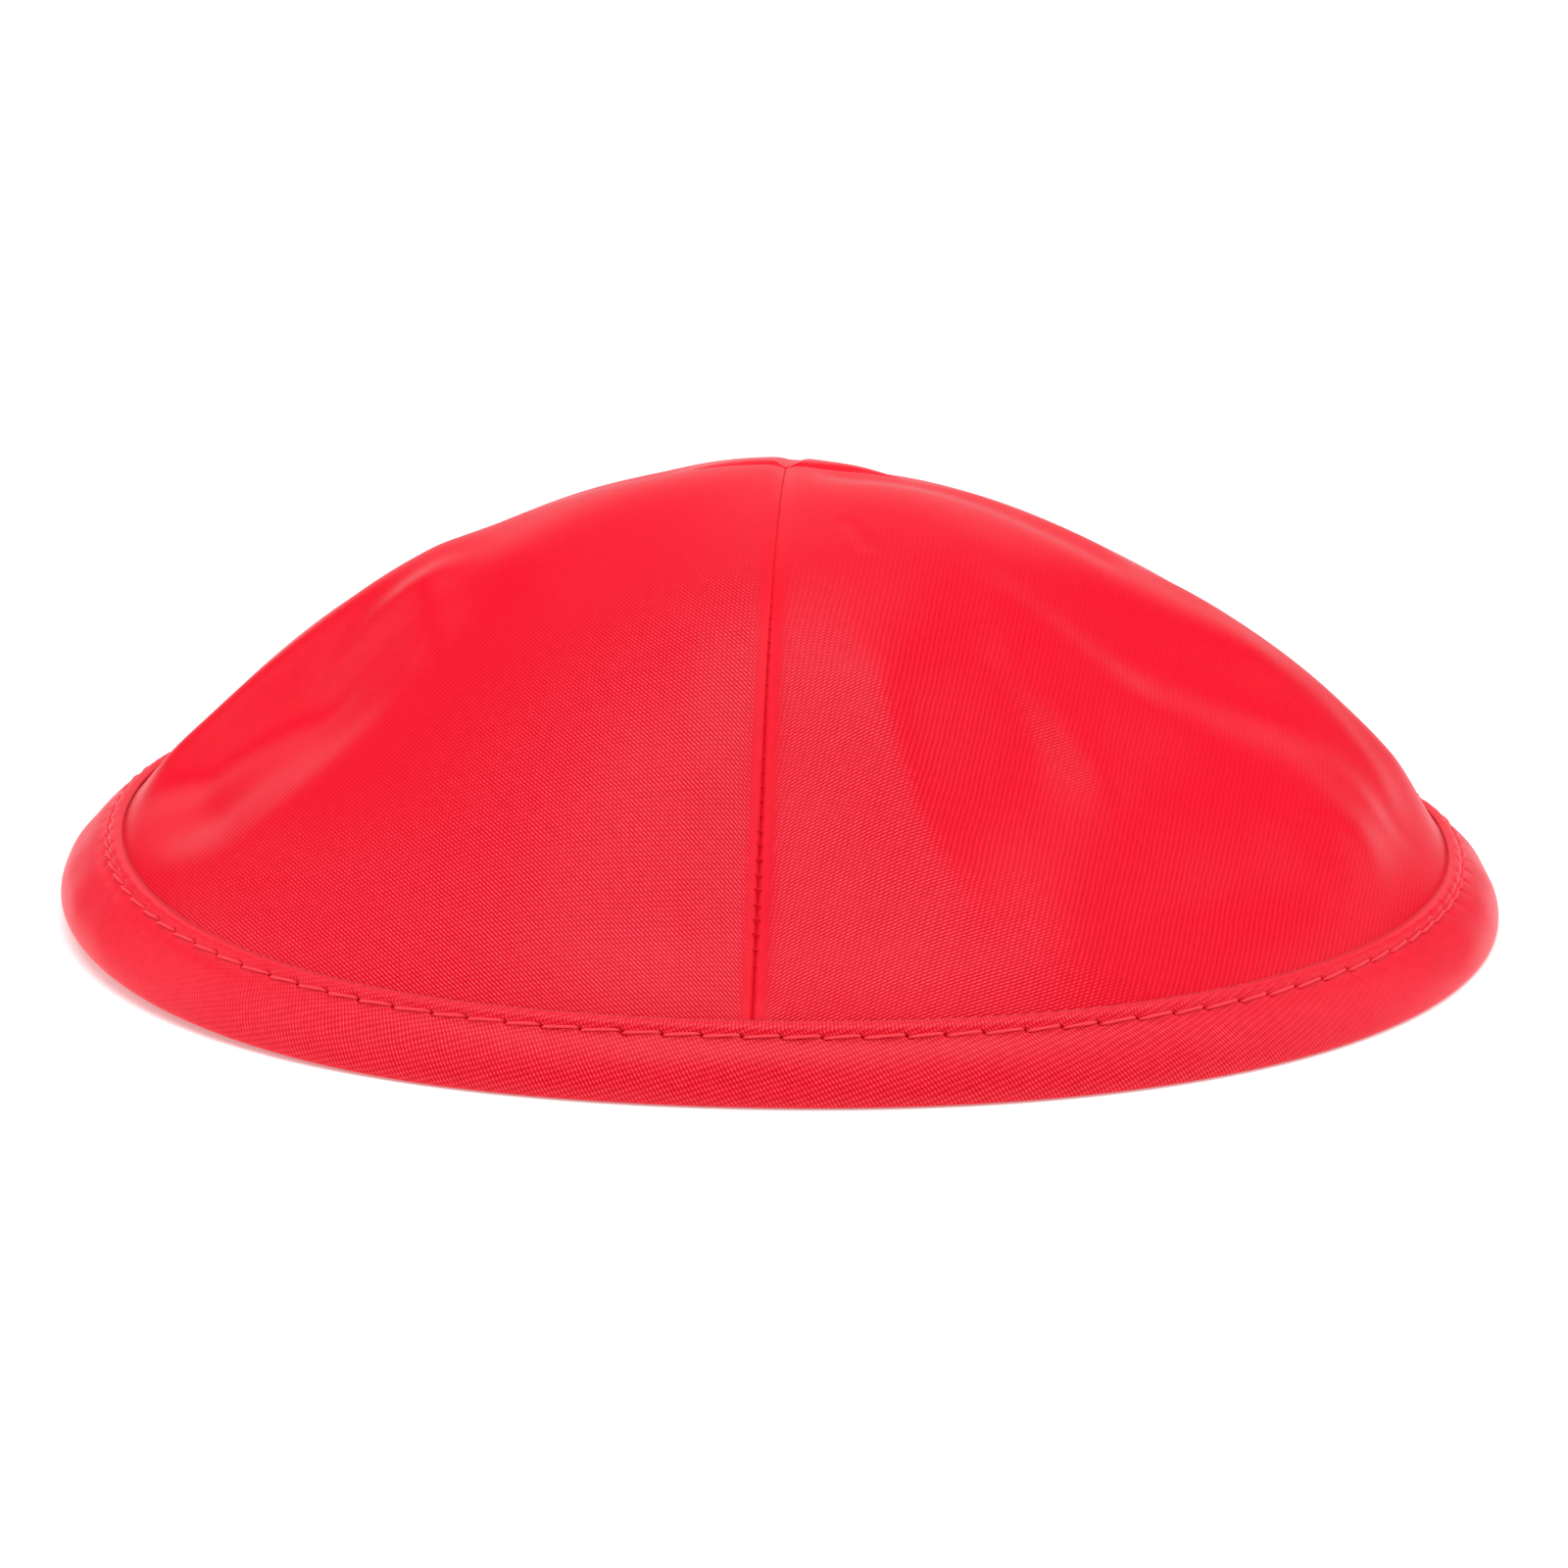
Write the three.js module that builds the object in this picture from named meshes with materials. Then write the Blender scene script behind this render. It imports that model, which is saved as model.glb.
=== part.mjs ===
// A satin skullcap of four sewn panels with a folded binding round its rim, lying on that rim.
// Millimetres, +Z up, the table at z = 0, the front seam towards -Y and the longer way of the oval along X.

import * as THREE from 'three';
import { mergeVertices } from 'three/addons/utils/BufferGeometryUtils.js';

// Driving dimensions
const CROWN_HEIGHT = 51.8;       // top of the crown above the table
const PANEL_CLOTH = 1.1;         // satin with its stiffened backing
const BINDING_CLOTH = 1.0;       // one ply of the folded binding
const SEWING_GAP = 0.3;          // room kept between two pieces
const TIP_RADIUS = 0.3;          // how near the panel tips come to the crown's middle
const BINDING_BULGE = 0.5;       // how far the middle of the binding stands proud of its two edges
const CHANNEL_FLOOR = 3.4;       // floor of the binding's channel, up the binding from its lower fold
const PANEL_TUCK_END = CHANNEL_FLOOR + SEWING_GAP; // the panels' cut edge in that channel
const FOLD_FADE = 0.1;           // last share of the crown, above the binding, in which folds die out

// Shape of a level ring near the rim: 2 is an oval. Nearer the top each panel has its own.
const RING_AT_RIM = 2.0;
const RING_TURNS_ROUND_FROM = 0.45;

// The rim's left end doesn't touch the table
const LEFT_LIFT = { height: 2.8, middleTurn: 2, reach: 0.75 };

// Groove of a seam between two puffed panels
const SEAM_GROOVE = { depth: 0.6, width: 1.6 };
const SEAM_TURN_IN = 3;          // how far from a seam the cloth begins to stand in the seam's plane

// The four seams, anticlockwise from the right. Angles in degrees from +X. The rim radius is that of the
// binding's lower fold, inset and rise place the binding's upper edge from there, and fullness is the
// power of the crown's outline above that seam: 1 is a cone, more is rounder.
const SEAMS = [
  { name: 'right', azimuth: 5.5, rimRadius: 84.6, bandInset: 5.8, bandRise: 8.2, fullness: 2.33 },
  { name: 'back', azimuth: 82, rimRadius: 79, bandInset: 5.2, bandRise: 8.2, fullness: 2.0 },
  { name: 'left', azimuth: 173, rimRadius: 85.2, bandInset: 7.2, bandRise: 8.2, fullness: 2.24 },
  { name: 'front', azimuth: 267.5, rimRadius: 79.4, bandInset: 4.8, bandRise: 8.6, fullness: 2.25 },
];

// The four panels, each from one seam to the next, and how far the rim swells between its seams.
// A swell power of 2 starts and ends smoothly, and 1 leaves a blunt corner at each of the two seams.
// The corners are the shape of the panel's level rings near the top: 2 is an oval, and less is drawn
// to corners at the seams, until at 1 the ring runs straight from seam to seam.
const PANELS = [
  { name: 'crown_panel_back_right', rimSwell: -4.5, swellPower: 2, corners: 1.42 },
  { name: 'crown_panel_back_left', rimSwell: 0.5, swellPower: 2, corners: 1.25 },
  { name: 'crown_panel_front_left', rimSwell: 2.6, swellPower: 2, corners: 1.5 },
  { name: 'crown_panel_front_right', rimSwell: 2.0, swellPower: 2, corners: 1.5 },
];

// Soft folds and dents, each a straight course seen from above. Width is where it has faded to a third,
// and height is how far it stands out of the panel, or below zero how deep it sinks in.
const FOLDS = [
  { name: 'left_ridge_top', from: [-42, -12], to: [-41, -19], width: 4, height: 1.3 },
  { name: 'left_ridge', from: [-45, -26], to: [-59, -35], width: 3.7, height: 0.3 },
  { name: 'left_ridge_foot', from: [-56, -37], to: [-72, -36], width: 5.2, height: 0.35 },
  { name: 'left_upper_swell', from: [-40, -9], to: [-53, -9], width: 3.6, height: 1.35 },
  { name: 'left_side_hollow', from: [-56, -10], to: [-67, -8], width: 7, height: -3.1 },
  { name: 'left_valley', from: [-57, -19], to: [-70, -21], width: 9.5, height: -2.85 },
  { name: 'left_front_hollow', from: [-46, -28], to: [-49, -40], width: 17.6, height: -2.35 },
  { name: 'left_middle_hollow', from: [-19, -26], to: [-30, -40], width: 11.8, height: -1.15 },
  { name: 'left_seam_swell', from: [-10, -37], to: [-9, -51], width: 3.8, height: 0.35 },
  { name: 'left_hem_hollow', from: [-2, -55], to: [-13, -65], width: 11.1, height: -1.5 },
  { name: 'left_top_swell', from: [-3, -3], to: [-29, -12], width: 7.8, height: 0.95 },
  { name: 'left_crest_swell', from: [-41, -2], to: [-72, 0], width: 4.8, height: 1.35 },
  { name: 'right_top_hollow', from: [7, -4], to: [36, -4], width: 3.4, height: -0.65 },
  { name: 'right_seam_swell', from: [13, -17], to: [9, -37], width: 12.7, height: 1.95 },
  { name: 'right_seam_low_swell', from: [10, -44], to: [18, -63], width: 5.6, height: 1 },
  { name: 'right_dimple', from: [27, -42], to: [17, -61], width: 10.1, height: -1.8 },
  { name: 'right_front_hollow', from: [31, -48], to: [47, -46], width: 8.5, height: -1.15 },
  { name: 'right_short_ridge', from: [26, -34], to: [36, -43], width: 3.4, height: 0.6 },
  { name: 'right_long_ridge', from: [25, -26], to: [40, -29], width: 4.2, height: 0.5 },
  { name: 'right_long_ridge_end', from: [55, -28], to: [68, -12], width: 7.1, height: 1.9 },
  { name: 'right_upper_hollow', from: [42, -23], to: [73, -14], width: 11, height: -2.5 },
  { name: 'right_lower_hollow', from: [45, -37], to: [53, -31], width: 6.5, height: -1.8 },
  { name: 'right_crease_end', from: [37, -30], to: [40, -42], width: 4.1, height: -0.3 },
  { name: 'right_side_swell', from: [63, -32], to: [68, -42], width: 6.3, height: 1.1 },
  { name: 'right_end_ridge', from: [67, -21], to: [65, -33], width: 6, height: 1.05 },
  { name: 'right_hem_hollow', from: [46, -60], to: [61, -42], width: 9.3, height: -1.3 },
  { name: 'right_crest_hollow', from: [30, 0], to: [40, 4], width: 5.6, height: -0.55 },
  { name: 'right_crest_dip', from: [43, -2], to: [64, -3], width: 5.2, height: -0.75 },
  { name: 'right_shoulder', from: [56, -7], to: [74, 4], width: 9.1, height: 2 },
  { name: 'back_left_puff', from: [-9, 14], to: [-4, 15], width: 6, height: 0.2 },
  { name: 'back_right_dent', from: [4, 14], to: [7, 13], width: 5, height: -1 },
  { name: 'left_back_hollow', from: [-16, 6], to: [-70, 9], width: 6, height: -1.2 },
  { name: 'right_back_hollow', from: [16, 6], to: [70, 9], width: 6, height: -1.55 },
];

// Cut across the binding, as turns of its folded cloth. Each point is placed either by its distance up
// the outer face from the lower fold (up) or down from the upper edge (below), and by its depth behind
// that face, or it lies on the table at a distance inside the rim (inside).
const OUTER_BACK = BINDING_CLOTH;
const CHANNEL_BACK = BINDING_CLOTH + 2 * SEWING_GAP + PANEL_CLOTH;
const INNER_FACE = CHANNEL_BACK + BINDING_CLOTH;
const BINDING_CUT = [
  { name: 'under_fold_outer', inside: 0.9 },
  { name: 'lower_curve', up: 1.4, depth: 0 },
  { name: 'lower_belly', up: 3.6, depth: -BINDING_BULGE },
  { name: 'upper_belly', up: 6.4, depth: -BINDING_BULGE },
  { name: 'upper_shoulder', below: 0.5, depth: 0 },
  { name: 'upper_edge', below: 0, depth: 0.5 },
  { name: 'upper_back', below: 0.1, depth: OUTER_BACK },
  { name: 'channel_floor_outer', up: CHANNEL_FLOOR, depth: OUTER_BACK },
  { name: 'channel_floor_inner', up: CHANNEL_FLOOR, depth: CHANNEL_BACK },
  { name: 'inner_top_back', below: 0.6, depth: CHANNEL_BACK },
  { name: 'inner_top', below: 0.6, depth: INNER_FACE },
  { name: 'inner_lower_curve', up: 3.4, depth: INNER_FACE },
  { name: 'under_fold_inner', inside: 3.9 },
];

// Mesh steps
const PANEL_COLUMNS = 22;
const CROWN_ROWS = 20;
const TUCK_ROWS = 2;
const BINDING_STEPS = 96;
const NORMAL_STEP = 0.002;
const CLOSED_UP = 1e-3;
const MERGE_WITHIN = 1e-4;

const SATIN_RED = 0xfa2e40;
const BINDING_RED = 0xf83648;

const smooth = (t) => {
  const c = THREE.MathUtils.clamp(t, 0, 1);
  return c * c * (3 - 2 * c);
};

// A turn counts quarters: 0 at the right seam, 1 at the back, 2 at the left, 3 at the front
const quarterOf = (turn) => Math.min(Math.floor(turn), 3);

function betweenSeams(turn, column) {
  const quarter = quarterOf(turn);
  const share = Math.sin((turn - quarter) * Math.PI / 2) ** 2;
  return THREE.MathUtils.lerp(SEAMS[quarter][column], SEAMS[(quarter + 1) % 4][column], share);
}

function azimuthOf(turn) {
  const quarter = quarterOf(turn);
  const start = SEAMS[quarter].azimuth;
  const end = quarter === 3 ? 360 + SEAMS[0].azimuth : SEAMS[quarter + 1].azimuth;
  return THREE.MathUtils.degToRad(THREE.MathUtils.lerp(start, end, turn - quarter));
}

function liftOf(turn) {
  return LEFT_LIFT.height * smooth(1 - Math.abs(turn - LEFT_LIFT.middleTurn) / LEFT_LIFT.reach);
}

function rimRadiusOf(turn) {
  const quarter = quarterOf(turn);
  const { rimSwell, swellPower } = PANELS[quarter];
  const swell = rimSwell * Math.abs(Math.sin(Math.PI * (turn - quarter))) ** swellPower;
  return betweenSeams(turn, 'rimRadius') + swell;
}

// A point at a radius and a height, on the way out from the middle at this turn
function atRadius(turn, radius, height) {
  const azimuth = azimuthOf(turn);
  return new THREE.Vector3(radius * Math.cos(azimuth), radius * Math.sin(azimuth), height);
}

// The binding's straight outer face at a turn: a distance up it from the lower fold, and a depth behind it
function bindingFace(turn) {
  const inset = betweenSeams(turn, 'bandInset');
  const rise = betweenSeams(turn, 'bandRise');
  const width = Math.hypot(inset, rise);
  const rim = rimRadiusOf(turn);
  const lift = liftOf(turn);
  return {
    width,
    radius: (up, depth) => rim - (up * inset + depth * rise) / width,
    height: (up, depth) => lift + (up * rise - depth * inset) / width,
  };
}

const PANEL_DEPTH = BINDING_CLOTH + SEWING_GAP;

// The crown's smooth form: share 0 is its middle and 1 the binding's upper edge
function crownForm(turn, share) {
  const face = bindingFace(turn);
  const edgeRadius = face.radius(face.width, PANEL_DEPTH);
  const edgeHeight = face.height(face.width, PANEL_DEPTH);
  const roundness = smooth((share - RING_TURNS_ROUND_FROM) / (1 - RING_TURNS_ROUND_FROM));
  const power = THREE.MathUtils.lerp(PANELS[quarterOf(turn)].corners, RING_AT_RIM, roundness);
  const angle = turn * Math.PI / 2;
  const across = Math.abs(Math.cos(angle)) ** power + Math.abs(Math.sin(angle)) ** power;
  const radius = share * edgeRadius * across ** (-1 / power);
  const drop = share ** betweenSeams(turn, 'fullness');
  return atRadius(turn, radius, edgeHeight + (CROWN_HEIGHT - edgeHeight) * (1 - drop));
}

// Square to a surface given by turn and share, pointing out of the cap. Towards a seam it turns into
// the seam's upright plane, so that the two panels stand side by side there.
function normalOf(surface, turn, share) {
  const turnStep = turn > 4 - NORMAL_STEP ? -NORMAL_STEP : NORMAL_STEP;
  const here = surface(turn, share);
  const along = surface(turn + turnStep, share).sub(here).multiplyScalar(Math.sign(turnStep));
  const down = surface(turn, share + NORMAL_STEP).sub(here);
  const normal = down.cross(along).normalize();
  const seam = Math.round(turn);
  const azimuth = azimuthOf(seam);
  const sideways = new THREE.Vector3(-Math.sin(azimuth), Math.cos(azimuth), 0);
  const distance = Math.hypot(here.x, here.y) * Math.abs(turn - seam) * Math.PI / 2;
  const kept = smooth(distance / SEAM_TURN_IN);
  return normal.addScaledVector(sideways, (kept - 1) * normal.dot(sideways)).normalize();
}

function foldHeight(point) {
  let height = 0;
  for (const fold of FOLDS) {
    const start = new THREE.Vector3(...fold.from, 0);
    const end = new THREE.Vector3(...fold.to, 0);
    const flat = new THREE.Vector3(point.x, point.y, 0);
    const nearest = new THREE.Line3(start, end).closestPointToPoint(flat, true, new THREE.Vector3());
    height += fold.height * Math.exp(-((flat.distanceTo(nearest) / fold.width) ** 2));
  }
  return height;
}

function grooveDepth(turn, radius) {
  const fromSeam = Math.min(turn - quarterOf(turn), 1 - (turn - quarterOf(turn)));
  const distance = radius * fromSeam * Math.PI / 2;
  return SEAM_GROOVE.depth * Math.exp(-((distance / SEAM_GROOVE.width) ** 2));
}

// The crown as it lies, with its folds and seam grooves
function crownFace(turn, share) {
  const point = crownForm(turn, share);
  const fade = smooth((1 - share) / FOLD_FADE);
  const relief = foldHeight(point) - grooveDepth(turn, Math.hypot(point.x, point.y));
  return point.addScaledVector(normalOf(crownForm, turn, share), fade * relief);
}

const shortestSide = ([p, q, r]) => Math.min(p.distanceTo(q), q.distanceTo(r), r.distanceTo(p));
const signedVolume = ([p, q, r]) => p.dot(new THREE.Vector3().crossVectors(q, r)) / 6;

// One closed body from points and the quads between them, with its faces pointing out. A quad at a tip
// has closed up to a triangle, so its other half is dropped.
function closedBody(name, points, quads, colour) {
  const triangles = quads
    .flatMap(([a, b, c, d]) => [[a, b, c], [a, c, d]])
    .map((corners) => corners.map((corner) => points[corner]))
    .filter((triangle) => shortestSide(triangle) > CLOSED_UP);
  const volume = triangles.reduce((sum, triangle) => sum + signedVolume(triangle), 0);
  const positions = [];
  for (const [p, q, r] of triangles) {
    const outwards = volume > 0 ? [p, q, r] : [p, r, q];
    for (const corner of outwards) positions.push(corner.x, corner.y, corner.z);
  }
  const loose = new THREE.BufferGeometry();
  loose.setAttribute('position', new THREE.Float32BufferAttribute(positions, 3));
  const geometry = mergeVertices(loose, MERGE_WITHIN);
  geometry.computeVertexNormals();
  const material = new THREE.MeshStandardMaterial({ color: colour, roughness: 0.5, metalness: 0 });
  const mesh = new THREE.Mesh(geometry, material);
  mesh.name = name;
  return mesh;
}

// One row of a panel, as the outer and inner face points from seam to seam
function panelRow(quarter, row) {
  const share = Math.min(row / CROWN_ROWS, 1);
  const tuck = Math.max(row - CROWN_ROWS, 0) / TUCK_ROWS;
  const outer = [];
  const inner = [];
  for (let column = 0; column <= PANEL_COLUMNS; column += 1) {
    const across = Math.sin(column / PANEL_COLUMNS * Math.PI / 2) ** 2;
    const rough = crownForm(quarter + 0.5, share);
    const margin = SEWING_GAP / 2 / (Math.hypot(rough.x, rough.y) * Math.PI / 2);
    const turn = quarter + margin + across * (1 - 2 * margin);
    const face = bindingFace(turn);
    const up = THREE.MathUtils.lerp(face.width, PANEL_TUCK_END, tuck);
    if (row < CROWN_ROWS) {
      const normal = normalOf(crownFace, turn, share);
      outer.push(crownFace(turn, share));
      inner.push(crownFace(turn, share).addScaledVector(normal, -PANEL_CLOTH));
    } else {
      const back = PANEL_DEPTH + PANEL_CLOTH;
      outer.push(atRadius(turn, face.radius(up, PANEL_DEPTH), face.height(up, PANEL_DEPTH)));
      inner.push(atRadius(turn, face.radius(up, back), face.height(up, back)));
    }
  }
  return { outer, inner };
}

// A panel's tip, closed up to one point on each face
function panelTip(quarter) {
  const outer = [];
  const inner = [];
  const top = CROWN_HEIGHT - SEAM_GROOVE.depth;
  for (let column = 0; column <= PANEL_COLUMNS; column += 1) {
    outer.push(atRadius(quarter + 0.5, TIP_RADIUS, top));
    inner.push(atRadius(quarter + 0.5, TIP_RADIUS, top - PANEL_CLOTH));
  }
  return { outer, inner };
}

function crownPanel(quarter) {
  const rows = [panelTip(quarter)];
  for (let row = 1; row <= CROWN_ROWS + TUCK_ROWS; row += 1) rows.push(panelRow(quarter, row));
  const width = PANEL_COLUMNS + 1;
  const innerStart = rows.length * width;
  const points = [...rows.flatMap((row) => row.outer), ...rows.flatMap((row) => row.inner)];
  const at = (row, column, side) => side * innerStart + row * width + column;
  const quads = [];
  const last = rows.length - 1;
  const end = PANEL_COLUMNS;
  for (let row = 0; row < last; row += 1) {
    const below = row + 1;
    for (let column = 0; column < PANEL_COLUMNS; column += 1) {
      const next = column + 1;
      quads.push([at(row, column, 0), at(below, column, 0), at(below, next, 0), at(row, next, 0)]);
      quads.push([at(row, column, 1), at(row, next, 1), at(below, next, 1), at(below, column, 1)]);
    }
    quads.push([at(row, 0, 0), at(row, 0, 1), at(below, 0, 1), at(below, 0, 0)]);
    quads.push([at(row, end, 0), at(below, end, 0), at(below, end, 1), at(row, end, 1)]);
  }
  for (let column = 0; column < PANEL_COLUMNS; column += 1) {
    const next = column + 1;
    quads.push([at(last, column, 0), at(last, column, 1), at(last, next, 1), at(last, next, 0)]);
  }
  return closedBody(PANELS[quarter].name, points, quads, SATIN_RED);
}

// The binding: its cut carried round the rim
function rimBinding() {
  const points = [];
  for (let step = 0; step < BINDING_STEPS; step += 1) {
    const turn = 4 * step / BINDING_STEPS;
    const face = bindingFace(turn);
    for (const cut of BINDING_CUT) {
      const onTable = cut.inside !== undefined;
      const up = cut.up ?? face.width - cut.below;
      const radius = onTable ? rimRadiusOf(turn) - cut.inside : face.radius(up, cut.depth);
      const height = onTable ? liftOf(turn) : face.height(up, cut.depth);
      points.push(atRadius(turn, radius, height));
    }
  }
  const count = BINDING_CUT.length;
  const quads = [];
  for (let step = 0; step < BINDING_STEPS; step += 1) {
    const next = (step + 1) % BINDING_STEPS;
    for (let cut = 0; cut < count; cut += 1) {
      const beside = (cut + 1) % count;
      quads.push([step * count + cut, next * count + cut, next * count + beside, step * count + beside]);
    }
  }
  return closedBody('rim_binding', points, quads, BINDING_RED);
}

const kippah = new THREE.Group();
for (let quarter = 0; quarter < 4; quarter += 1) kippah.add(crownPanel(quarter));
kippah.add(rimBinding());

// The origin is on the table under the middle of the cap's outline
const outline = new THREE.Box3().setFromObject(kippah);
const middle = outline.getCenter(new THREE.Vector3());
kippah.position.set(-middle.x, -middle.y, 0);

export default kippah;
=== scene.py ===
"""A red satin skullcap lying on its rim: four sewn panels and a folded, topstitched binding.

The cloth is worked out on numpy grids in the millimetres of the cut, in the same form as the frame's
solids, and put into meshes in metres. Everything rides on the one body.
"""

from __future__ import annotations

import logging
import math
from dataclasses import dataclass, field
from enum import Enum

import bpy
import numpy as np
from mathutils import Matrix, Vector


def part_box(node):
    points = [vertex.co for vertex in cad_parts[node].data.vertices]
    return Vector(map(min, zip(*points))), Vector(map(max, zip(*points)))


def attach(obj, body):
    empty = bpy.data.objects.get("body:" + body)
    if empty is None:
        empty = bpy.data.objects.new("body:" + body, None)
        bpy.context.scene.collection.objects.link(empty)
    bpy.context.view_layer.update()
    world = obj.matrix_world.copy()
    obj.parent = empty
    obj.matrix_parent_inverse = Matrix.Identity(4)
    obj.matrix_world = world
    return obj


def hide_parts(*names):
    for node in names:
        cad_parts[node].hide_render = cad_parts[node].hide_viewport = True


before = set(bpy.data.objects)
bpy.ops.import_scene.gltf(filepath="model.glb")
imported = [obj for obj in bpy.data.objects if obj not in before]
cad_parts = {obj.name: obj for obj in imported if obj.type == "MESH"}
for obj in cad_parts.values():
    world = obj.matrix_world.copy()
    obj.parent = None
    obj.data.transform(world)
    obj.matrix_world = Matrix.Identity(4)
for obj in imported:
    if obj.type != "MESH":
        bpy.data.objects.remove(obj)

LOG = logging.getLogger("kippah")
MM = 0.001
HALF_PI = math.pi / 2
BODY = "root"
CLOTH_UV = "cloth"
WEAVE_AND_GLINT = "weave_and_glint"
CROSS = "cross"
PAINTED_SHADE = "painted_shade"
UNDERSIDE = 1


def smooth(t: np.ndarray | float) -> np.ndarray:
    """Ease from 0 to 1: 3 t squared less 2 t cubed, with t held between 0 and 1."""
    held = np.clip(t, 0.0, 1.0)
    return held * held * (3 - 2 * held)


def hump(distance: np.ndarray, width: np.ndarray | float) -> np.ndarray:
    """A bell of height 1, down to a third at the width: e to the minus (distance / width) squared."""
    return np.exp(-((distance / width) ** 2))


def surface_normals(grid: np.ndarray) -> np.ndarray:
    """Unit normals of a grid of points, pointing out of the cap.

    The normal is the cross product of the step down the rows and the step along the columns.

    Args:
        grid: points, rows running down the crown and columns anticlockwise round it.

    Returns:
        One unit vector for each point.
    """
    down = np.gradient(grid, axis=0)
    along = np.gradient(grid, axis=1)
    normal = np.cross(down, along)
    length = np.linalg.norm(normal, axis=-1, keepdims=True)
    return normal / np.maximum(length, 1e-9)


def steps_along(points: np.ndarray, axis: int = 0) -> np.ndarray:
    """The distance from each point to the next along one axis of a grid."""
    return np.linalg.norm(np.diff(points, axis=axis), axis=-1)


def way_along(points: np.ndarray, axis: int = 0) -> np.ndarray:
    """The way from the first point to each along one axis of a grid: the steps added up."""
    return np.insert(np.cumsum(steps_along(points, axis), axis=axis), 0, 0.0, axis=axis)


def put_in_scene(name: str, data: bpy.types.ID) -> bpy.types.Object:
    """Make an object of a mesh, a camera or a light, and link it to the scene.

    Args:
        name: the object's name.
        data: what it shows.

    Returns:
        The object.
    """
    made = bpy.data.objects.new(name, data)
    bpy.context.scene.collection.objects.link(made)
    return made


def join(
    piece: bpy.types.Object, materials: list[bpy.types.Material], node: str | None = None
) -> None:
    """Dress a piece and join it to the frame.

    Args:
        piece: the piece.
        materials: its materials, in the order of its faces' numbers.
        node: the frame's node that it stands in for, if there is one.
    """
    for material in materials:
        piece.data.materials.append(material)
    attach(piece, BODY)
    if node:
        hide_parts(node)


class Quarter(Enum):
    """The four quarters of the cap, anticlockwise from the right seam."""

    BACK_RIGHT = 0
    BACK_LEFT = 1
    FRONT_LEFT = 2
    FRONT_RIGHT = 3


@dataclass(frozen=True)
class Seam:
    """One seam of the crown and the rim below it, in millimetres and degrees from +X.

    The rim radius is that of the binding's lower fold, inset and rise place its upper edge from there,
    and fullness is the power of the crown's outline: 1 is a cone, more is rounder.
    """

    name: str
    azimuth: float
    rim_radius: float
    band_inset: float
    band_rise: float
    fullness: float


@dataclass(frozen=True)
class PanelCut:
    """How one panel is cut.

    The rim swells out along it, by a swell whose power says how sharply it starts at the two seams. The
    corners are the power of its level rings near the top: 2 is an oval, 1 runs straight from seam to seam.
    """

    quarter: Quarter
    rim_swell: float
    swell_power: float
    corners: float


@dataclass(frozen=True)
class Fold:
    """A soft fold or dent: a straight course seen from above, the width at which it has faded to a third,
    and its height out of the cloth."""

    name: str
    start: tuple[float, float]
    end: tuple[float, float]
    width: float
    height: float


# Not all set by hand: a least-squares program made the right and left azimuths, the fullness of the
# right, back and left seams, the back panels' corners and the crown's height from the outline.
SEAMS = (
    Seam("right", 5.5, 84.6, 5.8, 8.2, 2.33),
    Seam("back", 82.0, 79.0, 5.2, 8.2, 2.0),
    Seam("left", 173.0, 85.2, 7.2, 8.2, 2.24),
    Seam("front", 267.5, 79.4, 4.8, 8.6, 2.25),
)

PANEL_CUTS = (
    PanelCut(Quarter.BACK_RIGHT, -4.5, 2.0, 1.42),
    PanelCut(Quarter.BACK_LEFT, 0.5, 2.0, 1.25),
    PanelCut(Quarter.FRONT_LEFT, 2.6, 2.0, 1.5),
    PanelCut(Quarter.FRONT_RIGHT, 2.0, 2.0, 1.5),
)
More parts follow.
